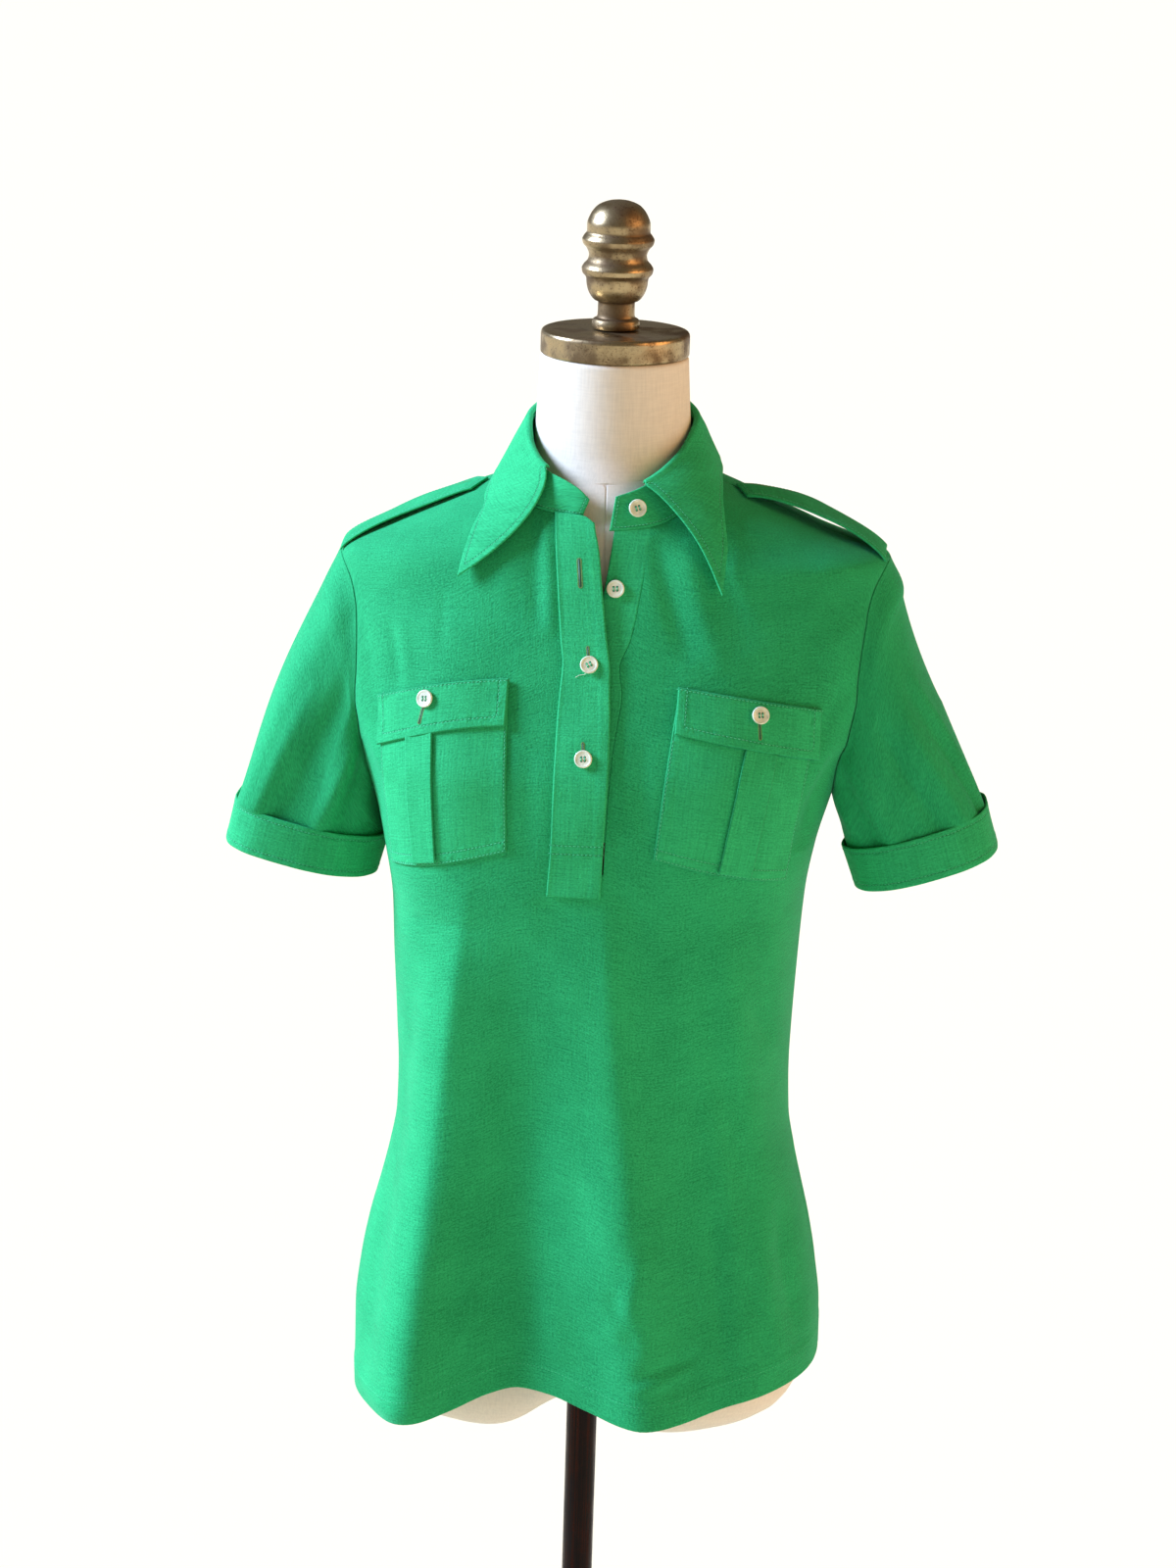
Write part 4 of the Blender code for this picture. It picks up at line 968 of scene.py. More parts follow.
@dataclass
class Shell:
    """A cloth wall through a grid of points, with rounded rims.

    grid holds the middle of the cloth and normals its outward side. extra thickens it.
    stitch_a and stitch_b are the distances to its two stitch lines, with a sign, and
    seam is the distance to the edge where it is sewn to its neighbour. The cloth's
    material paints shade along the stitch lines and the seam.
    """

    name: str
    grid: Array
    normals: Array
    thickness: float
    ring: bool = False
    open_cells: Optional[Array] = None
    extra: Number = 0.0
    stitch_a: Optional[Array] = None
    stitch_b: Optional[Array] = None
    seam: Optional[Array] = None

    def half(self) -> Array:
        """Thin the wall toward its rims.

        Returns:
            Half of the thickness at every point.
        """
        first, last, top, low = rim_gaps(self.grid)
        gap = np.minimum(top, low)
        if not self.ring:
            gap = np.minimum(gap, np.minimum(first, last))
        radius = self.thickness / 2
        inward = np.clip(gap / radius, 0, 1)
        return radius * np.sqrt(np.maximum(1 - (1 - inward) ** 2, 0.01))

    def outer(self) -> Array:
        """Return the outside of the wall."""
        return self.grid + self.normals * (self.half() + self.extra)[..., None]

    def quads(self) -> list[tuple[int, int, int, int]]:
        """List the grid's cells.

        Returns:
            Rows of four point numbers.
        """
        rows, columns = self.grid.shape[:2]
        spans = columns if self.ring else columns - 1
        found = []
        for i in range(rows - 1):
            for j in range(spans):
                if self.open_cells is None or not self.open_cells[i, j]:
                    here, k = i * columns, (j + 1) % columns
                    found.append((here + j, here + k, here + columns + k, here + columns + j))
        return found

    def build(self, finish: Finish) -> Thing:
        """Make the wall's object.

        Args:
            finish: what it is made of.

        Returns:
            The object.
        """
        outer = self.outer().reshape(-1, 3)
        inner = (self.grid - self.normals * self.half()[..., None]).reshape(-1, 3)
        cells = self.quads()
        first = cells[len(cells) // 2]
        facing = np.cross(outer[first[1]] - outer[first[0]], outer[first[3]] - outer[first[0]])
        if facing @ self.normals.reshape(-1, 3)[first[0]] < 0:
            cells = [cell[::-1] for cell in cells]
        edges = {(a, b) for cell in cells for a, b in zip(cell, cell[1:] + cell[:1])}
        rim = [(a, b) for a, b in sorted(edges) if (b, a) not in edges]
        used = np.unique(np.array(cells))
        place = np.full(len(outer), -1)
        place[used] = np.arange(len(used))
        half = len(used)
        front = place[np.array(cells)]
        faces = front.tolist() + (front[:, ::-1] + half).tolist()
        faces += [(place[b], place[a], place[a] + half, place[b] + half) for a, b in rim]
        across = along(self.grid, 1)
        flat = np.stack([across - across[:, -1:] / 2, along(self.grid, 0)], axis=-1).reshape(-1, 2)
        lines = {}
        for key in ("stitch_a", "stitch_b", "seam"):
            values = getattr(self, key)
            kept = np.full(len(outer), FAR) if values is None else np.asarray(values).ravel()
            lines[key] = np.concatenate([kept[used], np.full(half, FAR)])
        points = np.concatenate([outer[used], inner[used]])
        return add_object(self.name, points, faces, finish, np.concatenate([flat[used]] * 2), lines)


def wall(name: str, grid: Array, thickness: float, way: float) -> Shell:
    """Return a wall through the middle of a cloth.

    Args:
        name: the piece's name.
        grid: the points.
        thickness: the cloth's thickness.
        way: 1 where its middle faces +Y, and -1 where it faces -Y.

    Returns:
        The wall, with its normals turned that way.
    """
    normals = grid_normals(grid)
    sign = way * np.sign(normals[len(grid) // 2, grid.shape[1] // 2, 1])
    return Shell(name, grid, normals * sign, thickness)


# --- stitches ---
class StitchTree(Nodes):
    """The Geometry Nodes tree that lays stitches along paths."""

    INPUTS = (("Pitch", "Float"), ("Length", "Float"), ("Radius", "Float"), ("Turn", "Float"),
              ("Thread", "Material"))

    def __init__(self) -> None:
        """Build the tree."""
        super().__init__(bpy.data.node_groups.new("stitches", "GeometryNodeTree"))
        self.ids: dict[str, str] = {}
        face = self.tree.interface
        face.new_socket(name="Geometry", in_out="OUTPUT", socket_type="NodeSocketGeometry")
        face.new_socket(name="Path", in_out="INPUT", socket_type="NodeSocketGeometry")
        for name, kind in self.INPUTS:
            made = face.new_socket(name=name, in_out="INPUT", socket_type="NodeSocket" + kind)
            self.ids[name] = made.identifier
        given = self.node("NodeGroupInput").outputs
        line = self.add("GeometryNodeMeshToCurve", {"Mesh": given["Path"]})
        even = self.add("GeometryNodeResampleCurve", {"Curve": line, "Length": given["Pitch"]}, mode="LENGTH")
        thin = self.add("ShaderNodeCombineXYZ", {0: given["Length"], 1: given["Radius"], 2: given["Radius"]})
        spin = self.add("ShaderNodeCombineXYZ", {2: given["Turn"]})
        bead = self.add("GeometryNodeMeshUVSphere", {"Segments": 6, "Rings": 4, "Radius": 1.0})
        stitch = self.add("GeometryNodeTransform", {"Geometry": bead, "Scale": thin, "Rotation": spin})
        up = self.add("GeometryNodeInputNamedAttribute", {"Name": "up"}, data_type="FLOAT_VECTOR")
        tangent = self.add("GeometryNodeInputTangent", {})
        stood = self.add("FunctionNodeAlignRotationToVector", {"Vector": up}, axis="Z")
        turned = self.add("FunctionNodeAlignRotationToVector", {"Rotation": stood, "Vector": tangent},
                          axis="X", pivot_axis="Z")
        laid = self.add("GeometryNodeInstanceOnPoints",
                        {"Points": even, "Instance": stitch, "Rotation": turned})
        real = self.add("GeometryNodeRealizeInstances", {0: laid})
        sewn = self.add("GeometryNodeSetMaterial", {"Geometry": real, "Material": given["Thread"]})
        self.node("NodeGroupOutput", None, {0: sewn})

    def add(self, kind: str, sockets: dict, **settings: object) -> Socket:
        """Add a node and return its first output."""
        return self.node(kind, settings, sockets).outputs[0]


@dataclass
class Stitching:
    """Paths of stitches that become one piece."""

    name: str
    finish: Thread = GREEN_THREAD
    pitch: float = 2.7
    length: float = 0.98
    radius: float = 0.26
    turn: float = 0.0
    points: list[Array] = field(default_factory=list)
    ups: list[Array] = field(default_factory=list)
    edges: list[tuple[int, int]] = field(default_factory=list)

    def follow(self, shell: Shell, values: Array, keep: Optional[Array] = None) -> None:
        """Add the lines where a value over the outside of a piece is zero.

        Args:
            shell: the piece.
            values: the value at every point.
            keep: where stitches may be, or everywhere.
        """
        grid, normals = shell.outer(), shell.normals
        rows, columns = values.shape
        known: dict[tuple[int, int], int] = {}
        for i in range(rows - 1):
            for j in range(columns if shell.ring else columns - 1):
                k = (j + 1) % columns
                corners = ((i, j), (i, k), (i + 1, k), (i + 1, j))
                if keep is not None and not all(keep[c] for c in corners):
                    continue
                pairs = zip(corners, corners[1:] + corners[:1])
                cuts = [self.cut(a, b, grid, normals, values, known)
                        for a, b in pairs if (values[a] > 0) != (values[b] > 0)]
                if cuts:
                    self.edges.append((cuts[0], cuts[1]))

    def cut(self, a: tuple[int, int], b: tuple[int, int], grid: Array, normals: Array,
            values: Array, known: dict) -> int:
        """Find the point where the value is zero between two corners.

        Args:
            a, b: the corners' places in the grid.
            grid: the outside of the piece.
            normals: its normals.
            values: the value at every point.
            known: the points found so far, by their corners.

        Returns:
            The point's number.
        """
        key = (min(a, b), max(a, b))
        if key not in known:
            t = values[a] / (values[a] - values[b])
            known[key] = len(self.points)
            self.points.append(grid[a] * (1 - t) + grid[b] * t)
            self.ups.append(normals[a] * (1 - t) + normals[b] * t)
        return known[key]

    def path(self, line: Array, ups: Array) -> None:
        """Add a path through points with their upward directions."""
        first = len(self.points)
        self.points.extend(line)
        self.ups.extend(ups)
        self.edges.extend((first + k, first + k + 1) for k in range(len(line) - 1))

    def build(self, tree: StitchTree) -> Thing:
        """Lay the stitches as a plain mesh.

        Args:
            tree: the nodes that make one stitch.

        Returns:
            The stitches.
        """
        mesh = bpy.data.meshes.new(self.name + "_path")
        mesh.from_pydata((np.array(self.points) * MM).tolist(), self.edges, [])
        up = mesh.attributes.new("up", "FLOAT_VECTOR", "POINT")
        up.data.foreach_set("vector", unit(np.array(self.ups)).astype(np.float32).ravel())
        guide = put(self.name + "_path", mesh)
        modifier = guide.modifiers.new("stitches", "NODES")
        modifier.node_group = tree.tree
        sizes = {"Pitch": self.pitch * MM, "Length": self.length * MM, "Radius": self.radius * MM,
                 "Turn": self.turn, "Thread": dyed(self.finish)}
        for name, value in sizes.items():
            modifier[tree.ids[name]] = value
        guide.update_tag()
        graph = bpy.context.evaluated_depsgraph_get()
        laid = bpy.data.meshes.new_from_object(guide.evaluated_get(graph), depsgraph=graph)
        laid.name = self.name
        laid.polygons.foreach_set("use_smooth", np.ones(len(laid.polygons), bool))
        bpy.data.objects.remove(guide)
        return put(self.name, laid)


# --- how the cloth was cut; attaching and hiding pieces ---
@dataclass(frozen=True)
class Sheet:
    """How a cloth piece was cut: width and length in mm, and its share of that rectangle.

    node is the CAD node that it replaces. {} stands for the side of a piece that is
    made twice.
    """

    node: str
    width: float
    length: float
    share: float
    held: str
    rests_on: tuple[str, ...]


SHEETS = {
    "front_cloth": Sheet("front_panel", 436, 672, 0.80, "draped", ("form_torso",)),
    "back_cloth": Sheet("back_panel", 426, 676, 0.83, "draped", ("form_torso",)),
    "sleeve_cloth": Sheet("sleeve{}", 420, 168, 0.72, "draped", ("form_torso", "cuff_cloth{}")),
    "cuff_cloth": Sheet("cuff_band{}", 322, 31, 1.0, "folded", ("sleeve_cloth{}",)),
    "stand_cloth": Sheet("collar_stand", 318, 29, 0.94, "folded", ("front_cloth", "back_cloth")),
    "fall_cloth": Sheet("collar_fall", 430, 62, 0.92, "folded", ("stand_cloth",)),
    "placket_cloth": Sheet("placket_over", 36, 262, 0.93, "folded", ("front_cloth",)),
    "under_placket_cloth": Sheet("placket_under", 26, 214, 0.94, "folded", ("front_cloth",)),
    "pocket_cloth": Sheet("pocket{}", 108, 148, 0.86, "laid", ("front_cloth",)),
    "pleat_cloth": Sheet("pocket_pleat{}", 22, 76, 0.96, "laid", ("pocket_cloth{}",)),
    "flap_cloth": Sheet("pocket_flap{}", 96, 34, 1.0, "folded", ("pocket_cloth{}",)),
    "strap_cloth": Sheet("shoulder_strap{}", 112, 39, 0.92, "folded", ("front_cloth", "back_cloth")),
}


def settle(made: Thing, node: Optional[str] = None) -> Thing:
    """Attach a piece to the root body, hide the CAD node that it replaces and log its faces.

    Args:
        made: the piece.
        node: the CAD node that it replaces.

    Returns:
        The piece.
    """
    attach(made, "root")
    if node is not None:
        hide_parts(node)
    LOG.info("%s: %d faces", made.name, len(made.data.polygons))
    return made


def sew(shell: Shell) -> None:
    """Make a cloth piece in the finish that its cut calls for, and hide the CAD node that it replaces.

    Args:
        shell: the piece's wall, under the piece's name.
    """
    side = shell.name[-2:] if shell.name[-2:] in ("_L", "_R") else ""
    sheet = SHEETS[shell.name.removesuffix(side)]
    finish, slot = (GREEN, "shirt_jersey") if sheet.held == "draped" else (WOVEN_GREEN, "shirt_woven")
    made = settle(shell.build(finish), sheet.node.format(side))


# --- the armholes ---
ARM_POWER = 0.8


@dataclass(frozen=True)
class Armhole:
    """The hole that a sleeve is sewn into. front and back are its depths."""

    side: float
    front: float
    back: float

    def levels(self, steps: int) -> Array:
        """Return the heights of its stations, from the underarm up."""
        turn = np.radians(spaced(0, 180, steps))
        return (UNDERARM_Z + TIP_Z) / 2 - (TIP_Z - UNDERARM_Z) / 2 * np.cos(turn)

    def depth(self, steps: int, back: bool) -> Array:
        """Return the distance of its stations from the side line."""
        turn = np.radians(spaced(0, 180, steps))
        reach = self.back if back else self.front
        return reach * np.clip(np.sin(turn), 0, 1) ** ARM_POWER

    def angles(self, steps: int, back: bool) -> Array:
        """Return the angle, without its sign, of its stations."""
        y = self.depth(steps, back) * (1.0 if back else -1)
        found = CLOTH.angle_at_y(y, self.levels(steps))
        found[[0, -1]] = 90.0
        return found

    def ring(self, steps: int) -> Array:
        """Return its edge on the cloth, from the underarm by the front."""
        z = self.levels(steps)
        front = CLOTH.shaped(self.side * self.angles(steps, False), z)
        back = CLOTH.shaped(self.side * self.angles(steps, True), z)
        return np.concatenate([front, back[-2:0:-1]])


ARMHOLE_L = Armhole(-1, 64, 58)
ARMHOLE_R = Armhole(1, 58, 58)


# --- front and back ---
@dataclass
class BodyPanels:
    """The front, with its slit for the placket, and the back."""

    below_pitch: float = 2.45
    arm_steps: int = 60
    above_rows: int = 34
    slit_cells: int = 8
    over_lap: float = 3.0
    slit_left: float = -15.0
    slit_right: float = 12.0
    hem_row: float = 18.0
    hem_second: float = 21.2
    hem_thick: float = 0.45
    armhole_ditch: float = 0.35

    def levels(self, side: bool) -> Array:
        """List the heights of a panel's rows.

        Args:
            side: at its side edge, not in its middle.

        Returns:
            The heights.
        """
        low = between(HEM_Z, UNDERARM_Z, self.below_pitch)
        even = spaced(UNDERARM_Z, TIP_Z, self.arm_steps)
        beside_arm = ARMHOLE_L.levels(self.arm_steps) if side else even
        high = spaced(TIP_Z, SIDE_NECK_Z, self.above_rows)[1:]
        return np.concatenate([low[low < UNDERARM_Z - 1], beside_arm, high])

    def side_angles(self, armhole: Armhole, back: bool) -> Array:
        """Follow one side edge.

        Args:
            armhole: the armhole on that side.
            back: for the back panel.

        Returns:
            The angle, without its sign, of every row.
        """
        z = self.levels(True)
        first = int(np.searchsorted(z, UNDERARM_Z - 0.5))
        angles = np.full(len(z), 90.0)
        angles[first:first + self.arm_steps + 1] = armhole.angles(self.arm_steps, back)
        return angles

    def heights(self, side_z: Array, hem_z: Number, top_z: Number) -> Array:
        """Bend the level rows to meet the hem and the neckline."""
        low = np.clip((HEM_BEND_Z - side_z) / (HEM_BEND_Z - HEM_Z), 0, 1)
        high = np.clip((side_z - NECK_BEND_Z) / (SIDE_NECK_Z - NECK_BEND_Z), 0, 1)
        return side_z + (hem_z - HEM_Z) * low + (top_z - SIDE_NECK_Z) * high

    def panel(self, name: str, angles: Array, middle: Array, hem: Callable,
              cut: Optional[Array]) -> Shell:
        """Return a panel.

        Args:
            name: the panel's name.
            angles: the angle of every row and column.
            middle: how near each column is to the panel's middle, from 0 to 1.
            hem: the height of the hem over x.
            cut: the cells that are left out.

        Returns:
            The panel's wall.
        """
        columns = angles.shape[1]
        hem_x = CLOTH.point(angles[0], np.full(columns, HEM_Z))[:, 0]
        top = NECK_Z(wrapped(angles[-1]))
        hem_z = hem(hem_x)
        even, side = self.levels(False)[:, None], self.levels(True)[:, None]
        z = self.heights(side + (even - side) * ramp(middle, 0, 0.45), hem_z, top)
        outer = CLOTH.shaped(angles, z)
        normals = CLOTH.normal(angles, z)
        seam = np.isclose(np.abs(np.cos(np.radians(angles))), 0, atol=1e-6)
        way = -1.0 if np.cos(np.radians(angles[0, columns // 2])) > 0 else 1.0
        outer[..., 1] += np.where(seam, way * SEAM / 2, 0)
        normals[..., 1] = np.where(seam, 0, normals[..., 1])
        grid = outer - unit(normals) * JERSEY / 2
        rise = along(outer, 0)
        folded = self.hem_thick * (1 - ramp(rise, self.hem_second, self.hem_second + 1.6))
        sign = grid_normals(outer)
        sign = sign * np.sign((sign * normals).sum(-1))[..., None]
        across = along(outer, 1)
        edge = np.minimum(across, across[:, -1:] - across)
        return Shell(name, grid, sign, JERSEY, open_cells=cut, seam=edge,
                     extra=folded - self.armhole_ditch * bell(edge - 0.8, 1.3))

    def slit_angles(self, line: int, shift: float, place: float) -> Array:
        """Return the angle of one side of the slit for every row."""
        z = self.heights(self.levels(False), column(FRONT_HEM, 1)(place), NECK_Z(place))
        return CLOTH.angle_at_x(column(PLACKET_LINES, line)(z) + shift, z)

    def front(self) -> Shell:
        """Cut the front panel, with its slit.

        Returns:
            The panel's wall.
        """
        left = -self.side_angles(ARMHOLE_L, False)
        right = self.side_angles(ARMHOLE_R, False)
        slit_left = self.slit_angles(1, self.over_lap, self.slit_left)
        slit_right = self.slit_angles(3, 0, self.slit_right)
        rows = []
        share = marks(170, 2.6)
        for a, b, c, d in zip(left, slit_left, slit_right, right):
            rows.append(np.concatenate([a + (b - a) * share[:-1], spaced(b, c, self.slit_cells)[:-1],
                                        c + (d - c) * share]))
        angles = np.array(rows)
        cut = np.zeros((angles.shape[0] - 1, angles.shape[1] - 1), bool)
        first = int(np.searchsorted(self.levels(False), NOTCH_Z))
        cells = len(share) - 1
        cut[first:, cells:cells + self.slit_cells] = True
        middle = np.concatenate([share[:-1], np.ones(self.slit_cells), 1 - share])
        return self.panel("front_cloth", angles, middle, column(FRONT_HEM, 1), cut)

    def back(self) -> Shell:
        """Cut the back panel.

        Returns:
            The panel's wall.
        """
        right = self.side_angles(ARMHOLE_R, True)
        left = 360.0 - self.side_angles(ARMHOLE_L, True)
        share = marks(380, 3.2)
        angles = np.array([a + (b - a) * share for a, b in zip(right, left)])
        middle = 2 * np.minimum(share, 1 - share)
        return self.panel("back_cloth", angles, middle, column(BACK_HEM, 1), None)

    def build(self, tree: StitchTree) -> None:
        """Make both panels and their hem stitches.

        Args:
            tree: the nodes that make one stitch.
        """
        hems = Stitching("hem_stitches", length=0.7, radius=0.16)
        for shell in (self.front(), self.back()):
            sew(shell)
            rise = along(shell.grid, 0)
            hems.follow(shell, rise - self.hem_row, rise < 30)
        settle(hems.build(tree))


# --- sleeves ---
@dataclass(frozen=True)
class SleeveCrease:
    """A crease on a sleeve: its turn at the seam and at the band, and where it runs.

    Turns are degrees from the underarm by the front. shares run from the seam to the band.
    """

    seam_turn: float
    band_turn: float
    start: float
    end: float
    reach: float
    lift: float

    def height(self, turn: Array, share: Array) -> Array:
        """Return how far it lifts the sleeve at a turn and a share."""
        middle = self.seam_turn + (self.band_turn - self.seam_turn) * share
        off = wrapped(turn - middle)
        t = np.clip((share - self.start) / (self.end - self.start), 0, 1)
        return self.lift * bell(off, self.reach) * hump(t) ** 0.7


@dataclass
class Sleeve:
    """A short sleeve with its turned-up band. The places are those of the band's top."""

    name: str
    hole: Armhole
    x: float
    y: float
    z: float
    half_width: float
    half_depth: float
    rise: float
    fullness: float
    creases: Sequence[SleeveCrease]
    forward: float = 3.0
    swell_power: float = 1.6
    swell_up: float = 0.3
    band_height: float = 30.5
    band_tuck: float = 4.0
    band_clear: float = 0.6
    outer_power: float = 3.6
    tuck: float = 0.4
    steps: int = 56
    rows: int = 58

    def turns(self) -> Array:
        """Return the turns round the sleeve, in degrees."""
        return spaced(0, 360, 2 * self.steps)[:-1]

    def ring(self, drop: float, grow: Number) -> Array:
        """Draw a tilted ring of the sleeve's end, from its inner side by the front.

        Args:
            drop: how far below the band's top.
            grow: how much wider than the band's outside.

        Returns:
            The ring's points.
        """
        turn = np.radians(self.turns())
        side = self.hole.side
        bend = np.where(np.cos(turn) < 0, 2 / self.outer_power, 1)
        out = -np.sign(np.cos(turn)) * np.abs(np.cos(turn)) ** bend * (self.half_width + grow)
        x = self.x + side * out
        y = self.y - np.sign(np.sin(turn)) * np.abs(np.sin(turn)) ** bend * (self.half_depth + grow)
        z = self.z + self.rise * out - drop
        return np.stack([x + side * self.rise * drop, y, z + lean(x, z)], axis=-1)

    def swell(self, share: Array) -> Array:
        """Fill the sleeve out softly.

        Args:
            share: how far from the seam to the band.

        Returns:
            How far each point moves.
        """
        turn = np.radians(self.turns())
        forward = -np.sin(turn)[None, :, None] * np.array([0, 1, 0])
        away = np.array([self.hole.side, 0, self.swell_up])
        outward = np.clip(-np.cos(turn), 0, 1)[None, :, None] * away
        bulge = np.sin(np.pi * share) ** self.swell_power
        return bulge * (self.forward * forward + self.fullness * outward)

    def cloth(self) -> Shell:
        """Shape the sleeve.

        Returns:
            Its wall.
        """
        inset = DOUBLE + self.band_clear
        armhole = self.hole.ring(self.steps)
        top = self.ring(0, -inset)
        start = armhole - unit(top - armhole) * self.tuck
        rows = marks(120, 120.0 / self.rows)
        share = rows[:, None, None]
        body = start[None] * (1 - share) + top[None] * share + self.swell(share)
        low = np.array([self.ring(d, -inset) for d in spaced(0, self.band_height - self.band_tuck, 6)[1:]])
        grid = np.concatenate([body, low])
        normals = -self.hole.side * grid_normals(grid, ring=True)
        lift = np.zeros(grid.shape[:2])
        turn, part = np.meshgrid(self.turns(), rows)
        for crease in self.creases:
            lift[:len(rows)] += crease.height(turn, part) * ramp(part, 0, 0.14)
        head = 0.9 * bell(part - 0.07, 0.06) * ramp(turn, 60, 130) * ramp(360.0 - turn, 60, 130)
        gathers = 0.30 * np.sin(turn / 4.3) * bell(part, 0.16)
        lift[:len(rows)] += (head + gathers + 0.35 * np.sin(turn / 19.0 + part * 7)) * np.sin(np.pi * part)
        grid = grid + normals * (lift - JERSEY / 2)[..., None]
        normals = -self.hole.side * grid_normals(grid, ring=True)
        return Shell(f"sleeve_cloth_{self.name}", grid, normals, JERSEY, ring=True, seam=along(grid, 0))

    def band(self) -> Shell:
        """Shape the turned-up band.

        Returns:
            Its wall.
        """
        turn = np.radians(self.turns())
        shares = marks(self.band_height, 1.7)
        rings = []
        for share in shares:
            loose = (0.55 + 0.45 * np.sin(2 * turn + 0.6) + 0.3 * np.sin(5 * turn)) * (1 - share) ** 2
            wave = 0.22 * np.sin(7 * turn + 1) * hump(share) + 0.12 * np.sin(13 * turn)
            rings.append(self.ring(self.band_height * share, loose + wave - DOUBLE / 2))
        grid = np.array(rings)
        normals = -self.hole.side * grid_normals(grid, ring=True)
        run = along(grid, 0)
        return Shell(f"cuff_cloth_{self.name}", grid, normals, DOUBLE, ring=True,
                     stitch_a=run - 3.6, stitch_b=run - (self.band_height - 3.4))

    def build(self, stitches: Stitching) -> None:
        """Make the sleeve and its band.

        Args:
            stitches: takes the band's stitch lines.
        """
        sew(self.cloth())
        band = self.band()
        sew(band)
        for line in (band.stitch_a, band.stitch_b):
            stitches.follow(band, line)


CREASES_L = tuple(SleeveCrease(*row) for row in (
    (140, 136, -0.3, 1.3, 24, 7.5), (62, 80, 0.05, 1.1, 8, 5), (46, 62, 0.1, 1, 8, -3.8),
    (94, 100, 0.1, 1.1, 9, -4), (118, 120, 0.3, 1.1, 6, 1.8), (34, 40, 0, 0.8, 8, 1.8),
    (300, 288, 0.05, 0.95, 10, 2), (318, 306, 0.05, 0.95, 9, -2), (240, 236, 0.4, 1, 10, -1.2),
))
CREASES_R = tuple(SleeveCrease(*row) for row in (
    (132, 130, -0.3, 1.3, 28, 3), (120, 158, 0.35, 1.1, 6, -3.4), (132, 172, 0.35, 1.1, 6, 2.6),
    (60, 74, 0.05, 1.1, 8, 3.4), (44, 58, 0.05, 1.1, 8, -4.2), (92, 106, 0.25, 1.1, 7, -3.2),
    (112, 128, 0.4, 1.1, 6, 2.6), (30, 38, 0, 0.8, 8, 2.4), (298, 290, 0.05, 0.95, 10, 2),
    (316, 308, 0.05, 0.95, 9, -2), (236, 240, 0.4, 1, 10, -1.2), (180, 180, 0, 0.16, 40, 2.4),
    (180, 180, 0.14, 0.6, 40, -1.8),
))


# --- collar ---
# Top of the stand, from the left front end round the back. x, y, z
STAND_TOP = (
    (-7.5, -74, 1188), (-15, -71.5, 1194.5), (-25, -67, 1199.5), (-39, -56, 1204.5), (-52, -28, 1216.5),
    (-55.3, 0, 1227), (-41.5, 40, 1234), (0.5, 57.5, 1237), (42, 40, 1235), (56.3, 0, 1228),
    (51.5, -30, 1216), (37, -58, 1202), (24, -68.5, 1195), (10, -75, 1190.5),
)
STAND_ANGLE = (-6, -10.5, -17.5, -31.5, -61, -90, -136, -180, -225, -270, -304, -335.5, -346.5, -356.7)
# Lower edge of the fall. station on the stand's top, x, y, z, then how far the leaf bows
FALL_EDGE = (
    (2.85, -93.5, -86, 1135.5, 12, -7, -2), (3.2, -90, -71, 1154, 8, -5, -1.5),
    (3.7, -84.5, -50, 1172, 3, -1, 0), (4.5, -80.5, -14, 1187, 0, 0, 0), (5.3, -71.5, 30, 1193.5, 0, 0, 0),
    (6, -50, 66, 1197, 0, 0, 0), (7, 0.5, 84, 1198, 0, 0, 0), (8, 52, 66, 1198, 0, 0, 0),
    (8.7, 72.5, 30, 1195, 0, 0, 0), (9.5, 77.5, -14, 1191, 0, 0, 0), (10.3, 80.5, -50, 1177, 1, 0, 0.5),
    (11.1, 85.5, -75, 1153, 4, 0, 1), (11.75, 84, -90, 1127.5, 7, -1, 2.5),
)


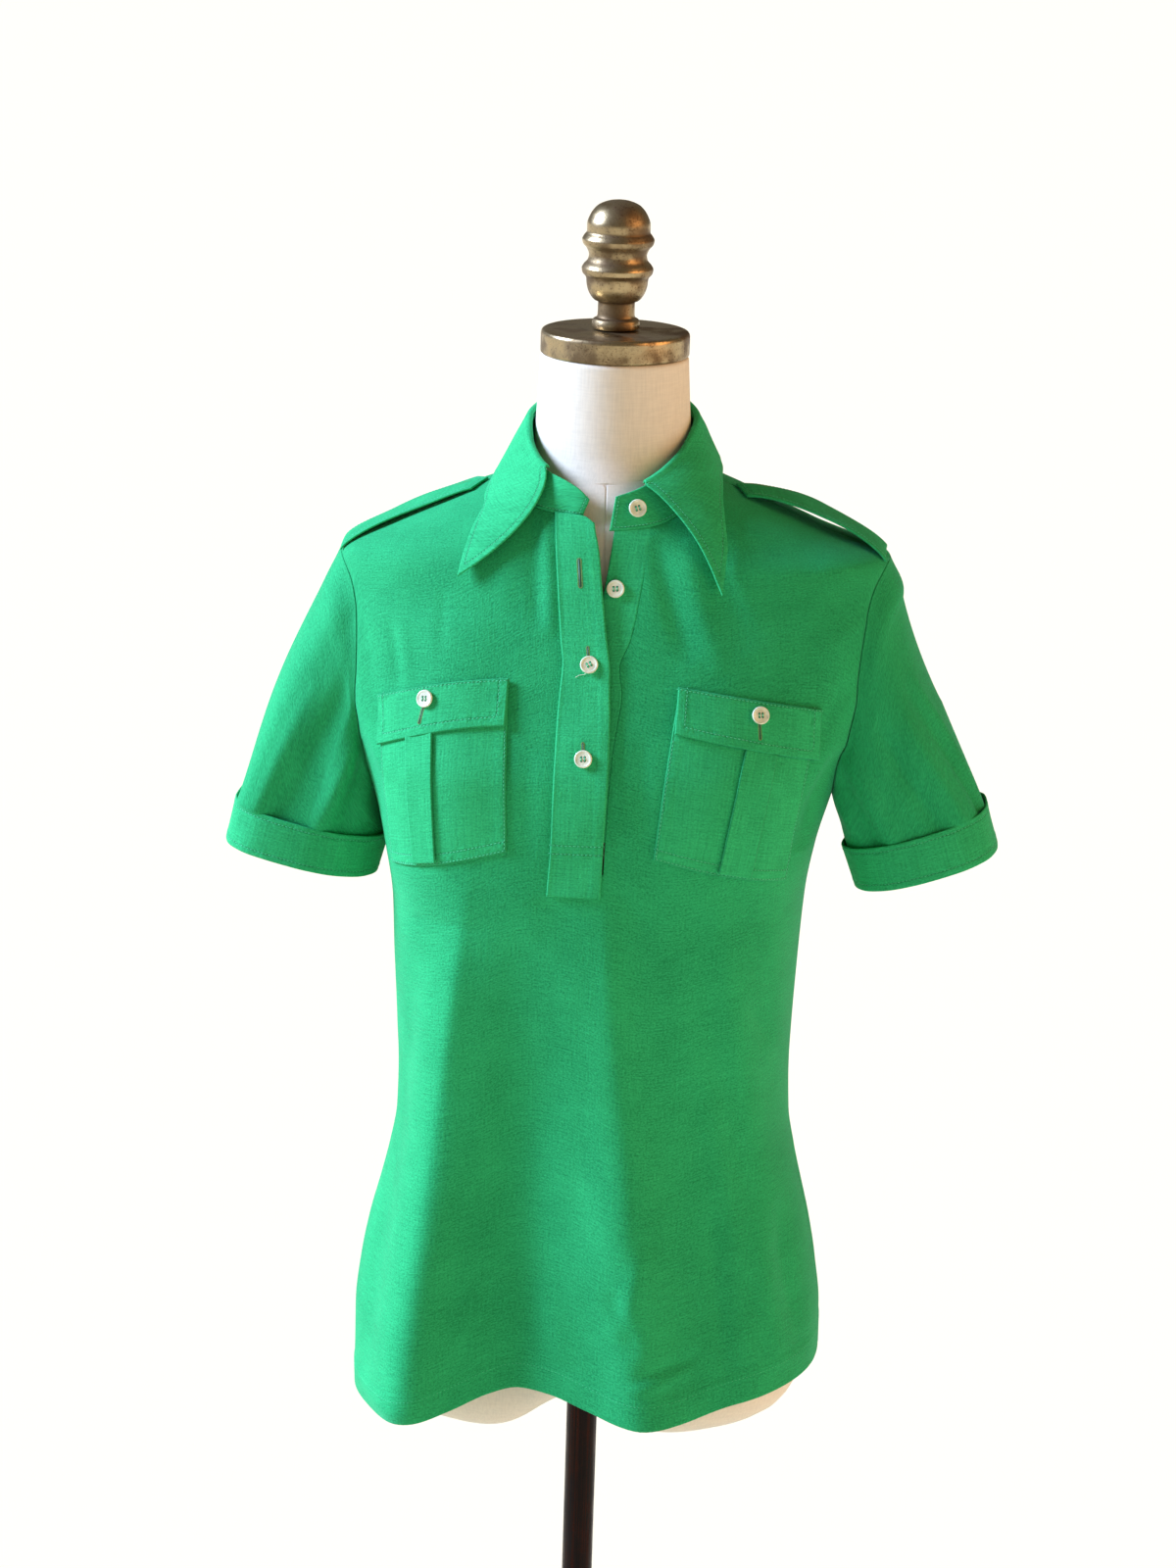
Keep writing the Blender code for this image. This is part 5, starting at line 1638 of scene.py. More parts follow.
@dataclass
class Collar:
    """The stand and the fall with its two long points."""

    fold_radius: float = 2.7
    fold_turns: tuple[float, ...] = (180, 158, 136, 115, 95, 75, 55, 32)
    fall_out: float = 0.2
    neck_centre: tuple[float, float] = (0.5, -2)
    stand_lift: float = -0.9
    stand_out: float = 0.8
    stand_drop: float = 1.2
    columns: int = 200
    inset: float = 4.2
    stand_inset: float = 2.6

    def stand_top(self, at: Array) -> Array:
        """Return the top of the stand at fractional stations."""
        points = stations(STAND_TOP, at)
        points[..., 2] += lean(points[..., 0], points[..., 2])
        return points

    def stand_grid(self, at: Array) -> Array:
        """Shape the stand's outside, from its seam to its top.

        Args:
            at: fractional stations.

        Returns:
            The grid.
        """
        top = self.stand_top(at)
        top[:, 2] -= self.stand_drop
        angle = curve(np.arange(len(STAND_ANGLE)), STAND_ANGLE)(at)
        low = CLOTH.point(angle, NECK_Z(wrapped(angle))) + np.array([0, 0, self.stand_lift])
        share = marks(27, 1.8)[:, None, None]
        out = unit((low - np.array([*self.neck_centre, 0])) * np.array([1, 1, 0]))
        swell = self.stand_out * (1 - share) ** 2 + 0.9 * hump(share)
        return low[None] * (1 - share) + top[None] * share + out[None] * swell

    def wall(self, name: str, outside: Array) -> Shell:
        """Return a piece of the collar inward from its outside."""
        made = wall(name, outside, DOUBLE, 1)
        made.grid = outside - made.normals * DOUBLE / 2
        return made

    def stand(self) -> Shell:
        """Shape the stand.

        Returns:
            Its wall.
        """
        last = len(STAND_TOP) - 1.0
        at = last * marks(300, 2)
        grid = self.stand_grid(at)
        run = along(grid, 1)
        pull = 0.5 * np.sin(run / 3.1) * bell(run - 6, 14) + 0.35 * np.sin(run / 4.7 + 1)
        pull = pull * bell(along(grid, 0), 14)
        made = self.wall("stand_cloth", grid)
        made.grid = made.grid + made.normals * pull[..., None] * 0.5
        sides = np.minimum(run, run[:, -1:] - run)
        made.stitch_a = np.minimum(along(grid, 0), sides) - self.stand_inset
        made.seam = along(grid, 0)
        return made

    def fall(self) -> Shell:
        """Shape the fall.

        Returns:
            Its wall.
        """
        at = (len(FALL_EDGE) - 1) * marks(430, 430.0 / self.columns)
        table = stations(FALL_EDGE, at)
        bow = table[:, 4:]
        edge = table[:, 1:4]
        edge[:, 2] += lean(edge[:, 0], edge[:, 2])
        top = self.stand_top(table[:, 0])
        up = np.array([0, 0, 1])
        out = unit((top - np.array([*self.neck_centre, 0])) * (1 - up))
        centre = top + out * (self.fold_radius - DOUBLE) + up * SEAM
        rows = [centre + (out * math.cos(t) + up * math.sin(t)) * self.fold_radius
                for t in np.radians(self.fold_turns)]
        side = centre + out * (self.fold_radius + self.fall_out)
        shares = marks(60, 1.9)[3:]
        for t in shares:
            rows.append(side * (1 - t) + edge * t + out * hump(t) + bow * hump(t ** 0.8))
        grid = np.array(rows)
        made = self.wall("fall_cloth", grid)
        lower = to_line(grid, grid[-1])
        fronts = np.minimum(to_line(grid, grid[4:, 0]), to_line(grid, grid[4:, -1]))
        made.stitch_a = np.minimum(lower, fronts) - self.inset
        folded = made.stitch_a[:len(self.fold_turns)]
        folded[:] = np.maximum(folded, 2)
        run = along(grid, 1)
        soft = 0.35 * np.sin(run / 13.0 + 0.5) + 0.2 * np.sin(run / 5) * bell(lower - 4, 5)
        soft = soft * ramp(along(grid, 0), 12, 26)
        made.grid = made.grid + made.normals * soft[..., None]
        return made

    def build(self, stitches: Stitching) -> None:
        """Make the stand and the fall.

        Args:
            stitches: takes their stitch lines.
        """
        stand, fall = self.stand(), self.fall()
        sew(stand)
        sew(fall)
        stitches.follow(stand, stand.stitch_a)
        stitches.follow(fall, fall.stitch_a)


# --- pieces that lie on the front ---
@dataclass
class Patch:
    """A piece between four corners of the front.

    corners are the inner top, outer top, inner low and outer low, as x and z. gap is its
    distance from the panel at its rims and puff how far its middle stands off more.
    """

    name: str
    corners: Outline
    thickness: float
    gap: float
    puff: float
    columns: Array
    rows: Array
    bow: float = 0.0
    bow_fade: float = 1.0

    def flat(self) -> tuple[Array, Array]:
        """Spread the patch out.

        Returns:
            x and z of its grid.
        """
        (ax, az), (bx, bz), (cx, cz), (dx, dz) = self.corners
        u, v = self.columns[None, :], self.rows[:, None]
        x = (ax * (1 - u) + bx * u) * (1 - v) + (cx * (1 - u) + dx * u) * v
        z = (az * (1 - u) + bz * u) * (1 - v) + (cz * (1 - u) + dz * u) * v
        return x, z + self.bow * hump(u) * (1 - self.bow_fade * v)

    def shell(self, more: Number = 0) -> Shell:
        """Lay the patch on what is below.

        Args:
            more: more lift at every point.

        Returns:
            Its wall.
        """
        x, z = self.flat()
        u, v = self.columns[None, :], self.rows[:, None]
        puffed = self.puff * (hump(u) * hump(v)) ** 0.5
        out = self.gap + self.thickness / 2 + puffed + more
        return wall(self.name, CLOTH.on_front(x, z, out), self.thickness, -1)


def laid_on(shell: Shell, x: Array, z: Array, lift: float) -> tuple[Array, Array]:
    """Lay points on the outside of a shell.

    Args:
        shell: the wall below.
        x, z: the places, as the front shows them.
        lift: how far above the wall they lie.

    Returns:
        The points and their normals.
    """
    x, z = np.atleast_1d(x), np.atleast_1d(z)
    base = CLOTH.on_front(x, z, 0)
    outside, normals = shell.outer().reshape(-1, 3), shell.normals.reshape(-1, 3)
    found, facing = [], []
    for point in base:
        gap = np.linalg.norm((outside - point)[:, [0, 2]], axis=1)
        near = np.argsort(gap)[:6]
        weight = 1 / (gap[near] ** 2 + 0.05)
        normal = unit((normals[near] * weight[:, None]).sum(0))
        rise = ((outside[near] - point) @ normal * weight).sum() / weight.sum()
        found.append(point + normal * (rise + lift))
        facing.append(normal)
    return np.array(found), np.array(facing)


def turned_under(gap: Array, width: float) -> Array:
    """Return the rise that the cloth turned under an edge gives beside it."""
    return TURNED_RISE * (1 - ramp(gap, width, width + 1.5))


@dataclass
class Pocket:
    """A flap pocket with a centre pleat."""

    side: str
    body: Outline
    flap: Outline
    pleat: Outline
    bow: float
    width: float = 94.0
    height: float = 118.0
    flap_height: float = 32.0
    pleat_width: float = 20.0
    pleat_height: float = 74.0
    edge_row: float = 1.5
    low_row: float = 8.0
    turned_in: float = 6.4
    flap_row: float = 6.2

    def build(self, stitches: Stitching) -> Shell:
        """Make the pocket, its pleat and its flap.

        Args:
            stitches: takes their stitch lines.

        Returns:
            The flap.
        """
        across, down = marks(self.width, 2.2), marks(self.height, 2.4)
        body = Patch(f"pocket_cloth_{self.side}", self.body, 1, 0.12, 0.75, across, down, self.bow).shell()
        first, last, _, low = rim_gaps(body.grid)
        sides = np.minimum(first, last)
        body.stitch_a = np.minimum(sides, low) - self.edge_row
        body.stitch_b = low - self.low_row
        body.extra = turned_under(sides, self.turned_in) + turned_under(low, self.low_row)
        body.seam = np.minimum(sides, low)
        pleat = Patch(f"pleat_cloth_{self.side}", self.pleat, 1.1, 1.6, 0.35,
                      marks(self.pleat_width, 1.6), marks(self.pleat_height, 2.6))
        u = pleat.columns[None, :]
        inner = 1 - u if self.side == "L" else u
        strip = pleat.shell(1.2 * inner ** 3 + 1.2 * (1 - inner) ** 4)
        flap = Patch(f"flap_cloth_{self.side}", self.flap, 1.4, 1.5, 0,
                     across, marks(self.flap_height, 1.7), self.bow, -0.3)
        v, u = flap.rows[:, None], flap.columns[None, :]
        droop = 0.6 * ramp(v, 0, 0.7) + 0.35 * np.sin(u * 5.0 + 0.6) * v ** 2
        cover = flap.shell(droop)
        first, last, top, low = rim_gaps(cover.grid)
        sides = np.minimum(first, last)
        cover.stitch_a = np.minimum(sides, low) - self.flap_row
        cover.stitch_b = top - self.edge_row
        cover.extra = turned_under(sides, self.flap_row) + turned_under(low, self.flap_row)
        cover.seam = np.minimum.reduce([sides, low, top])
        strip.seam = np.minimum(*rim_gaps(strip.grid)[:2])
        for piece in (body, strip, cover):
            sew(piece)
        below_flap = along(body.grid, 0) > self.flap_height + 1.0
        for shell, shown in ((body, below_flap), (cover, None)):
            stitches.follow(shell, shell.stitch_a, shown)
            stitches.follow(shell, shell.stitch_b, shown)
        return cover


POCKET_L = Pocket(
    "L",
    ((-54.8, 1069.5), (-143.5, 1050), (-51, 957.5), (-132.5, 933.5)),
    ((-54, 1071), (-144.5, 1051.5), (-54.5, 1040.5), (-141.5, 1018)),
    ((-101.5, 1033), (-120.5, 1028), (-96.5, 946.5), (-112.5, 941.5)), 3,
)
POCKET_R = Pocket(
    "R",
    ((58.6, 1067), (150.5, 1048.5), (46.8, 955), (131.8, 931)),
    ((57.8, 1068.5), (151.5, 1050), (57, 1038.5), (150, 1015.5)),
    ((103, 1028), (123.5, 1023), (88.5, 945.5), (109, 939.5)), 0.5,
)


@dataclass
class Placket:
    """The over-placket with its box, and the under-placket."""

    low_z: float = 927.5
    high_z: float = 1179.0
    box_z: float = 966.0
    over_lap: float = 3.0
    under_gap: float = 0.05
    under_shown: float = 25.0
    box_rows: tuple[float, float] = (31, 37)

    def strip(self, left: Array, right: Array, heights: Array, columns: Array) -> tuple[Array, Array]:
        """Spread a strip out between two lines, with its top cut to the neckline.

        Args:
            left, right: the lines.
            heights: of its rows.
            columns: shares from left to right.

        Returns:
            x and z.
        """
        u = columns[None, :]
        x = left[:, None] * (1 - u) + right[:, None] * u
        z = heights[:, None] + 0.0 * u
        top = NECK_Z(CLOTH.angle_at_x(x[-1], z[-1])) - SEAM
        return x, z + (top - z[-1])[None, :] * ramp(heights, 1150, self.high_z)[:, None]

    def over(self) -> Shell:
        """Shape the over-placket.

        Returns:
            Its wall.
        """
        z = between(self.low_z, self.high_z, 2.2)
        lines = [column(PLACKET_LINES, k)(z) for k in (1, 2)]
        columns = marks(36, 1.7)
        x, z = self.strip(*lines, z, columns)
        u = columns[None, :]
        free = ramp(z, 960, 1010)
        open_top = ramp(z, 1085, 1175)
        out = 0.25 + DOUBLE / 2 + 0.5 * hump(u) + free * (1.9 * u + 0.5 * u ** 2) + open_top * 0.9 * u ** 2
        wave = 0.45 * np.sin(z / 17.0 + 0.4) * u ** 2 * free + 0.3 * np.sin(z / 9) * hump(u)
        for button_z in (1081.4, 1022.1):
            out = out - 0.5 * bell(np.hypot(x + 1.2, z - button_z), 7)
        made = wall("placket_cloth", CLOTH.on_front(x, z, out + wave), DOUBLE, -1)
        first, last, low, _ = rim_gaps(made.grid)
        made.stitch_b = np.abs(low - sum(self.box_rows) / 2) - (self.box_rows[1] - self.box_rows[0]) / 2
        made.extra = turned_under(last, 6) + 0.3 * bell(first - 0.8, 0.8)
        made.seam = first
        return made

    def under(self) -> Shell:
        """Shape the under-placket.

        Returns:
            Its wall.
        """
        heights = between(self.box_z, 1170, 2.4)
        seam = column(PLACKET_LINES, 3)(heights) - self.under_gap
        left = column(PLACKET_LINES, 1)(heights) + self.over_lap + 1.0
        free = np.maximum(seam - self.under_shown, left)
        columns = marks(25, 1.8)
        x, z = self.strip(free, seam, heights, columns)
        sag = 0.4 * np.sin(z / 14) * (1 - columns[None, :])
        return wall("under_placket_cloth", CLOTH.on_front(x, z, sag - 0.1 - DOUBLE / 2), DOUBLE, -1)

    def build(self, stitches: Stitching) -> tuple[Shell, Shell]:
        """Make both plackets.

        Args:
            stitches: takes their stitch lines.

        Returns:
            The over- and the under-placket.
        """
        over, under = self.over(), self.under()
        sew(over)
        sew(under)
        stitches.follow(over, over.stitch_b, rim_gaps(over.grid)[2] < 60)
        return over, under


# --- shoulder straps ---
@dataclass
class Strap:
    """A shoulder strap that bridges the shoulder seam."""

    name: str
    sleeve_x: float
    neck_x: float
    rise: float
    half_width: float = 18.0
    lie: float = 0.5
    point: float = 9.0
    centre_y: float = -2.0
    arch_power: float = 0.8
    row: float = 3.8

    def ground(self, x: Array, y: Array) -> Array:
        """Find the cloth on the shoulder.

        Args:
            x, y: the places from above.

        Returns:
            Its heights there.
        """
        low = np.full(np.broadcast(x, y).shape, SEARCH_Z[0])
        high = np.full(low.shape, SEARCH_Z[1])
        for _ in range(SEARCH_STEPS):
            mid = (low + high) / 2
            depth = np.where(y < 0, CLOTH.depths[0](mid), CLOTH.depths[1](mid))
            power = np.where(y < 0, CLOTH.powers[0](mid), CLOTH.powers[1](mid))
            across = np.abs(x - CLOTH.centre(mid)) / CLOTH.width(mid)
            inside = across ** power + (np.abs(y) / depth) ** power < 1.0
            low = np.where(inside, mid, low)
            high = np.where(inside, high, mid)
        return low + lean(x + 0.0 * y, low)

    def shell(self) -> Shell:
        """Shape the strap.

        Returns:
            Its wall.
        """
        reach = self.neck_x - self.sleeve_x
        u = marks(abs(reach), 2.2)[None, :]
        v = (2 * marks(2 * self.half_width, 2) - 1)[:, None]
        x = self.sleeve_x + reach * u * (1 - self.point / abs(reach) * np.abs(v))
        y = self.centre_y + v * self.half_width * np.ones_like(u)
        base = np.stack([x, y, self.ground(x, y)], axis=-1)
        bridge = self.rise * np.sin(np.pi * u) ** self.arch_power + 0.35 * np.sin(u * 11.0 + 2 * v)
        normals = grid_normals(base)
        normals = normals * np.sign(normals[..., 2:])
        grid = base + normals * (self.lie + 0.4 + DOUBLE / 2)
        grid[..., 2] += bridge
        facing = grid_normals(grid)
        facing = facing * np.sign(facing[..., 2:])
        made = Shell(f"strap_cloth_{self.name}", grid, facing, DOUBLE)
        _, last, top, low = rim_gaps(grid)
        made.stitch_a = np.minimum.reduce([top, low, last]) - self.row
        return made

    def build(self, stitches: Stitching, holes: Stitching) -> None:
        """Make the strap.

        Args:
            stitches: takes its stitch lines.
            holes: takes its buttonhole's.
        """
        made = self.shell()
        sew(made)
        stitches.follow(made, made.stitch_a)
        rows = len(made.grid)
        run = along(made.grid, 1)[rows // 2]
        far, near = (int(np.searchsorted(run, run[-1] - d)) for d in (24, 10))
        spine = made.outer()[rows // 2, far:near:2]
        holes.path(spine, made.normals[rows // 2, far:near:2])


# --- buttons and buttonholes ---
@dataclass(frozen=True)
class Button:
    """A four-hole button on a seat, with its thread."""

    name: str
    x: float
    z: float
    spin: float
    clear: float = 0.4
    tilt: float = 0.0
    radius: float = 6.0
    height: float = 2.4
    hole: float = 0.85
    hole_out: float = 1.65
    sides: int = 48
    hole_sides: int = 12

    def profile(self) -> Outline:
        """Return the outline of half the button. radius, height."""
        shares = ((0.66, 0), (0.82, 0.10), (0.94, 0.30), (1, 0.52), (0.99, 0.74), (0.95, 0.92),
                  (0.90, 1), (0.84, 0.99), (0.79, 0.93), (0.74, 0.86), (0.68, 0.83))
        return tuple((self.radius * r, self.height * h) for r, h in shares)

    def seat(self, shell: Shell) -> tuple[Array, Array]:
        """Return the place of its underside on a shell and the direction that it faces."""
        places, normals = laid_on(shell, self.x, self.z, self.clear)
        return places[0], unit(normals[0] + np.array([self.tilt, 0, self.tilt]))

    def mesh(self) -> tuple[Array, list[tuple[int, ...]]]:
        """Shape the button, lying flat.

        Returns:
            Its points and faces.
        """
        work = bmesh.new()
        height = self.profile()[-1][1]

        def ring(x: float, y: float, radius: float, z: float, sides: int) -> list[bmesh.types.BMVert]:
            """Add the corners of a level ring."""
            turns = [2 * math.pi * k / sides for k in range(sides)]
            return [work.verts.new((x + radius * math.cos(t), y + radius * math.sin(t), z)) for t in turns]

        def tube(low: list[bmesh.types.BMVert], high: list[bmesh.types.BMVert]) -> None:
            """Add the faces between two rings."""
            for k, n in zip(range(len(low)), [*range(1, len(low)), 0]):
                work.faces.new((low[k], low[n], high[n], high[k]))

        rings = [ring(0, 0, r, h, self.sides) for r, h in self.profile()]
        for low, high in zip(rings, rings[1:]):
            tube(low, high)
        rims: tuple[list, list] = ([], [])
        for q in range(4):
            turn = math.pi * (2 * q + 1) / 4
            x, y = self.hole_out * math.cos(turn), self.hole_out * math.sin(turn)
            for rim, z in zip(rims, (0.0, height)):
                rim.append(ring(x, y, self.hole, z, self.hole_sides))
            tube(rims[0][-1], rims[1][-1])
        for rim, holes in ((rings[0], rims[0]), (rings[-1], rims[1])):
            edges = []
            for loop in [rim, *holes]:
                edges += [work.edges.get((a, b)) or work.edges.new((a, b))
                          for a, b in zip(loop, loop[1:] + loop[:1])]
            bmesh.ops.triangle_fill(work, use_beauty=True, use_dissolve=False, edges=edges)
        bmesh.ops.recalc_face_normals(work, faces=work.faces)
        work.verts.index_update()
        points = np.array([v.co[:] for v in work.verts])
        faces = [tuple(v.index for v in f.verts) for f in work.faces]
        work.free()
        return points, faces

    def build(self, threads: Stitching, shell: Shell) -> None:
        """Make the button.

        Args:
            threads: takes its two threads.
            shell: what it is sewn on.
        """
        seat, normal = self.seat(shell)
        side = unit(np.cross(np.array([0, 0, 1]), normal))
        up = np.cross(normal, side)
        c, s = math.cos(self.spin), math.sin(self.spin)
        axes = np.stack([side * c + up * s, up * c - side * s, normal])
        points, faces = self.mesh()
        made = add_object(self.name + "_pearl", seat + points @ axes, faces, PEARL)
        made.data.set_sharp_from_angle(angle=math.radians(50))
        settle(made, self.name)
        top = self.profile()[-1][1] + 0.18
        reach = self.hole_out * math.sqrt(0.5)
        for a, b in (((-reach, -reach), (-reach, reach)), ((reach, -reach), (reach, reach))):
            t = spaced(0, 1, 8)[:, None]
            height = top + 0.25 * hump(t) - 0.3 * np.abs(2 * t - 1)
            line = np.hstack([np.array(a) * (1 - t) + np.array(b) * t, height])
            threads.path(seat + line @ axes, np.tile(normal, (len(t), 1)))


class StandButton(Button):
    """The button at the end of the collar's stand."""

    station = 12.1
    step = 0.2

    def seat(self, shell: Shell) -> tuple[Array, Array]:
        """Seat the button.

        Args:
            shell: what it is sewn on; not used.

        Returns:
            The place of its underside and the way it faces.
        """
        outside = COLLAR.stand_grid(self.station + np.array([-self.step, 0, self.step]))
        middle = len(outside) // 2
        across = outside[middle, 2] - outside[middle, 0]
        upward = outside[-1, 1] - outside[0, 1]
        normal = unit(np.cross(upward, across))
        normal = normal * -np.sign(normal[1])
        return outside[middle, 1] + normal * self.clear, normal


STAND_BUTTON = StandButton("button_stand", 0, 0, 0.3)
UNDER_BUTTON = Button("button_placket_2", 13, 1130.3, 0.1)
OVER_BUTTONS = (Button("button_placket_3", -1.1, 1081.4, 0.5, 0.8, 0.16),
                Button("button_placket_4", -1.5, 1022.1, 0.1))
FLAP_BUTTONS = (Button("button_pocket_L", -107.6, 1053.2, 0.15),
                Button("button_pocket_R", 111.2, 1049, 0))
COLLAR = Collar()


@dataclass(frozen=True)
class Buttonhole:
    """A worked slit between two points of the front."""

    x0: float
    z0: float
    x1: float
    z1: float
    half_width: float = 0.85
    gape: float = 0.4

    def outline(self, shell: Shell, grow: float, lift: float) -> tuple[Array, Array]:
        """Draw a closed line round the slit.

        Args:
            shell: what it is cut in.
            grow: how far out from the slit.
            lift: how far above the shell.

        Returns:
            Its points and their normals.
        """
        dx, dz = self.x1 - self.x0, self.z1 - self.z0
        length = math.hypot(dx, dz)
        ex, ez = dx / length, dz / length
        turn = np.radians(spaced(90, 270, 6))
        start = np.stack([np.cos(turn) * grow, np.sin(turn) * grow], axis=-1)
        end = -start + np.array([length, 0])
        loop = np.concatenate([start, end, start[:1]])
        x = self.x0 + loop[:, 0] * ex - loop[:, 1] * ez
        z = self.z0 + loop[:, 0] * ez + loop[:, 1] * ex
        return laid_on(shell, x, z, lift)

    def build(self, name: str, stitches: Stitching, shell: Shell) -> None:
        """Make the slit as a thin dark sheet of painted shade.

        Args:
            name: the name of the sheet of painted shade.
            stitches: takes the stitches round it.
            shell: what it is cut in.
        """
        line, ups = self.outline(shell, self.half_width, 0.10)
        stitches.path(line, ups)
        # the slit is filled with a thin dark sheet of painted shade
        slit = self.outline(shell, self.gape, 0.16)[0][:-1]
        normal = unit(ups.mean(0))
        low = slit - normal * 0.12
        count = len(slit)
        faces = [tuple(range(count)), tuple(reversed(range(count, 2 * count)))]
        faces += [(k, k + count, (k + 1) % count + count, (k + 1) % count) for k in range(count)]
        points = np.concatenate([slit, low])
        facing = np.cross(slit[2] - slit[0], slit[5] - slit[0])
        if facing @ normal < 0:
            faces = [face[::-1] for face in faces]
        settle(add_object(name, points, faces, SLIT_SHADE))


OVER_HOLES = (Buttonhole(-11.6, 1147.5, -9.8, 1131.5, 1.3, 0.75), Buttonhole(-2.8, 1092.5, -2, 1085.5),
              Buttonhole(-2.4, 1032, -2, 1026.5))
FLAP_HOLES = (Buttonhole(-108.8, 1047.5, -110.6, 1038), Buttonhole(111, 1043.5, 111.8, 1034.5))
LOOSE_THREAD = ((-9.6, 1073.6), (-7, 1074.9), (-4, 1075.4), (-1.5, 1077.5))


# --- dress form, metal and stand ---
@dataclass
class DressForm:
    """The limbless form with two rounded ends, a seam at the neck and seams down the front."""

    sides: int = 168
    top_z: float = 1271.9
    tip_rows: tuple[float, float] = (1140, 1138)
    neck_seam_z: float = 1194.0
    neck_seam_dip: float = 6.0
    lobe_z: float = 505.0
    arch_reach: float = 36.0
    rim_z: float = 562.0
    socket_z: float = 540.0
    socket_depth: float = 70.0
    hole: float = 11.4
    seams: tuple[float, ...] = (0, 38, 90, 142, 180, 218, 270, 322)
    under: Outline = (
        (0.997, 0.18), (0.99, 0.35), (0.975, 0.51), (0.95, 0.64), (0.915, 0.76), (0.86, 0.86), (0.79, 0.93),
        (0.70, 0.97), (0.58, 0.99), (0.45, 1), (0.34, 1), (0.22, 1),
    )

    def build(self) -> None:
        """Make the form."""
        turn = spaced(0, 360, self.sides)[:-1]
        heights = np.concatenate([spaced(self.top_z, self.tip_rows[0], 66),
                                  spaced(self.tip_rows[1], self.rim_z, 110)])
        rings = [FORM.point(turn, np.full(self.sides, z)) for z in heights]
        rings[0][:, :2] *= 0.985
        rim = rings[-1]
        reach = np.radians(turn)
        circle = np.stack([self.hole * np.sin(reach), -self.hole * np.cos(reach)], axis=-1)
        for share, depth in self.under:
            flat = rim[:, :2] * share
            floor = self.lobe_z + (self.socket_z - self.lobe_z) * bell(flat[:, 0], self.arch_reach)
            z = rim[:, 2] + (floor + lean(flat[:, 0], floor) - rim[:, 2]) * depth
            rings.append(np.column_stack([flat, z]))
        for z in (self.socket_z, self.socket_z + self.socket_depth):
            rings.append(np.column_stack([circle, np.full(self.sides, z)]))
        grid = np.array(rings)
        seams = np.min([np.abs(wrapped(turn - at)) for at in self.seams], axis=0)
        sideways = seams[None, :] * np.linalg.norm(grid[..., :2], axis=-1) * math.pi / 180.0
        above = grid[..., 2] - self.neck_seam_z - self.neck_seam_dip * np.sin(reach)[None, :]
        sideways = np.where(above > 1, FAR, sideways)
        lines = np.minimum(sideways, np.abs(above))
        faces = lathe_faces(len(rings), self.sides)
        made = add_object("form_linen", grid.reshape(-1, 3), faces, LINEN, numbers={"stitch_a": lines})
        settle(made, "form_torso")


def lathe_faces(rings: int, sides: int) -> list[tuple[int, ...]]:
    """Join a stack of rings that runs down, with a flat face at each end.

    Args:
        rings: how many rings there are.
        sides: the points in a ring.

    Returns:
        The faces.
    """
    faces: list[tuple[int, ...]] = []
    for i in range(rings - 1):
        for j in range(sides):
            k = (j + 1) % sides
            faces.append((i * sides + j, (i + 1) * sides + j, (i + 1) * sides + k, i * sides + k))
    faces.append(tuple(range(sides)))
    faces.append(tuple((rings - 1) * sides + j for j in reversed(range(sides))))
    return faces


@dataclass
class Turned:
    """A piece turned on a lathe from its profile of radius and z, from the bottom up."""

    name: str
    node: str
    slot: str
    finish: AgedMetal
    profile: Outline
    smooth: bool
    sides: int = 96
    finer: int = 4
    sharp: float = 35.0

    def build(self) -> None:
        """Make the piece."""
        rows = np.array(self.profile)
        if self.smooth:
            rows = stations(self.profile, spaced(0, len(rows) - 1, (len(rows) - 1) * self.finer))
        turn = np.radians(spaced(0, 360, self.sides)[:-1])
        rings = np.array([np.column_stack([r * np.cos(turn), r * np.sin(turn), np.full(self.sides, z)])
                          for r, z in rows])
        spread = np.convolve(np.pad(rows[:, 0], 3, mode="edge"), np.ones(7) / 7, mode="valid")
        hollow = np.clip((spread - rows[:, 0]) / 1.4, 0, 1) if self.smooth else np.zeros(len(rows))
        faces = [face[::-1] for face in lathe_faces(len(rows), self.sides)]
        numbers = {"hollow": np.repeat(hollow, self.sides)}
        made = add_object(self.name, rings.reshape(-1, 3), faces, self.finish, numbers=numbers)
        made.data.set_sharp_from_angle(angle=math.radians(self.sharp))
        settle(made, self.node)


def rounded(corners: Outline, radius: float, steps: int = 4) -> Outline:
    """Round the corners of a profile.

    Args:
        corners: the profile's points.
        radius: how far from a corner the rounding starts.
        steps: how many pieces each corner is cut into.

    Returns:
        The finer profile, with its ends where they were.
    """
    points = np.array(corners, float)
    made = [tuple(points[0])]
    for before, here, after in zip(points, points[1:], points[2:]):
        start = here + (before - here) * min(0.45, radius / max(np.linalg.norm(before - here), 1e-6))
        end = here + (after - here) * min(0.45, radius / max(np.linalg.norm(after - here), 1e-6))
        for t in spaced(0, 1, steps):
            made.append(tuple(start * (1 - t) ** 2 + here * 2 * t * (1 - t) + end * t * t))
    made.append(tuple(points[-1]))
    return tuple(made)


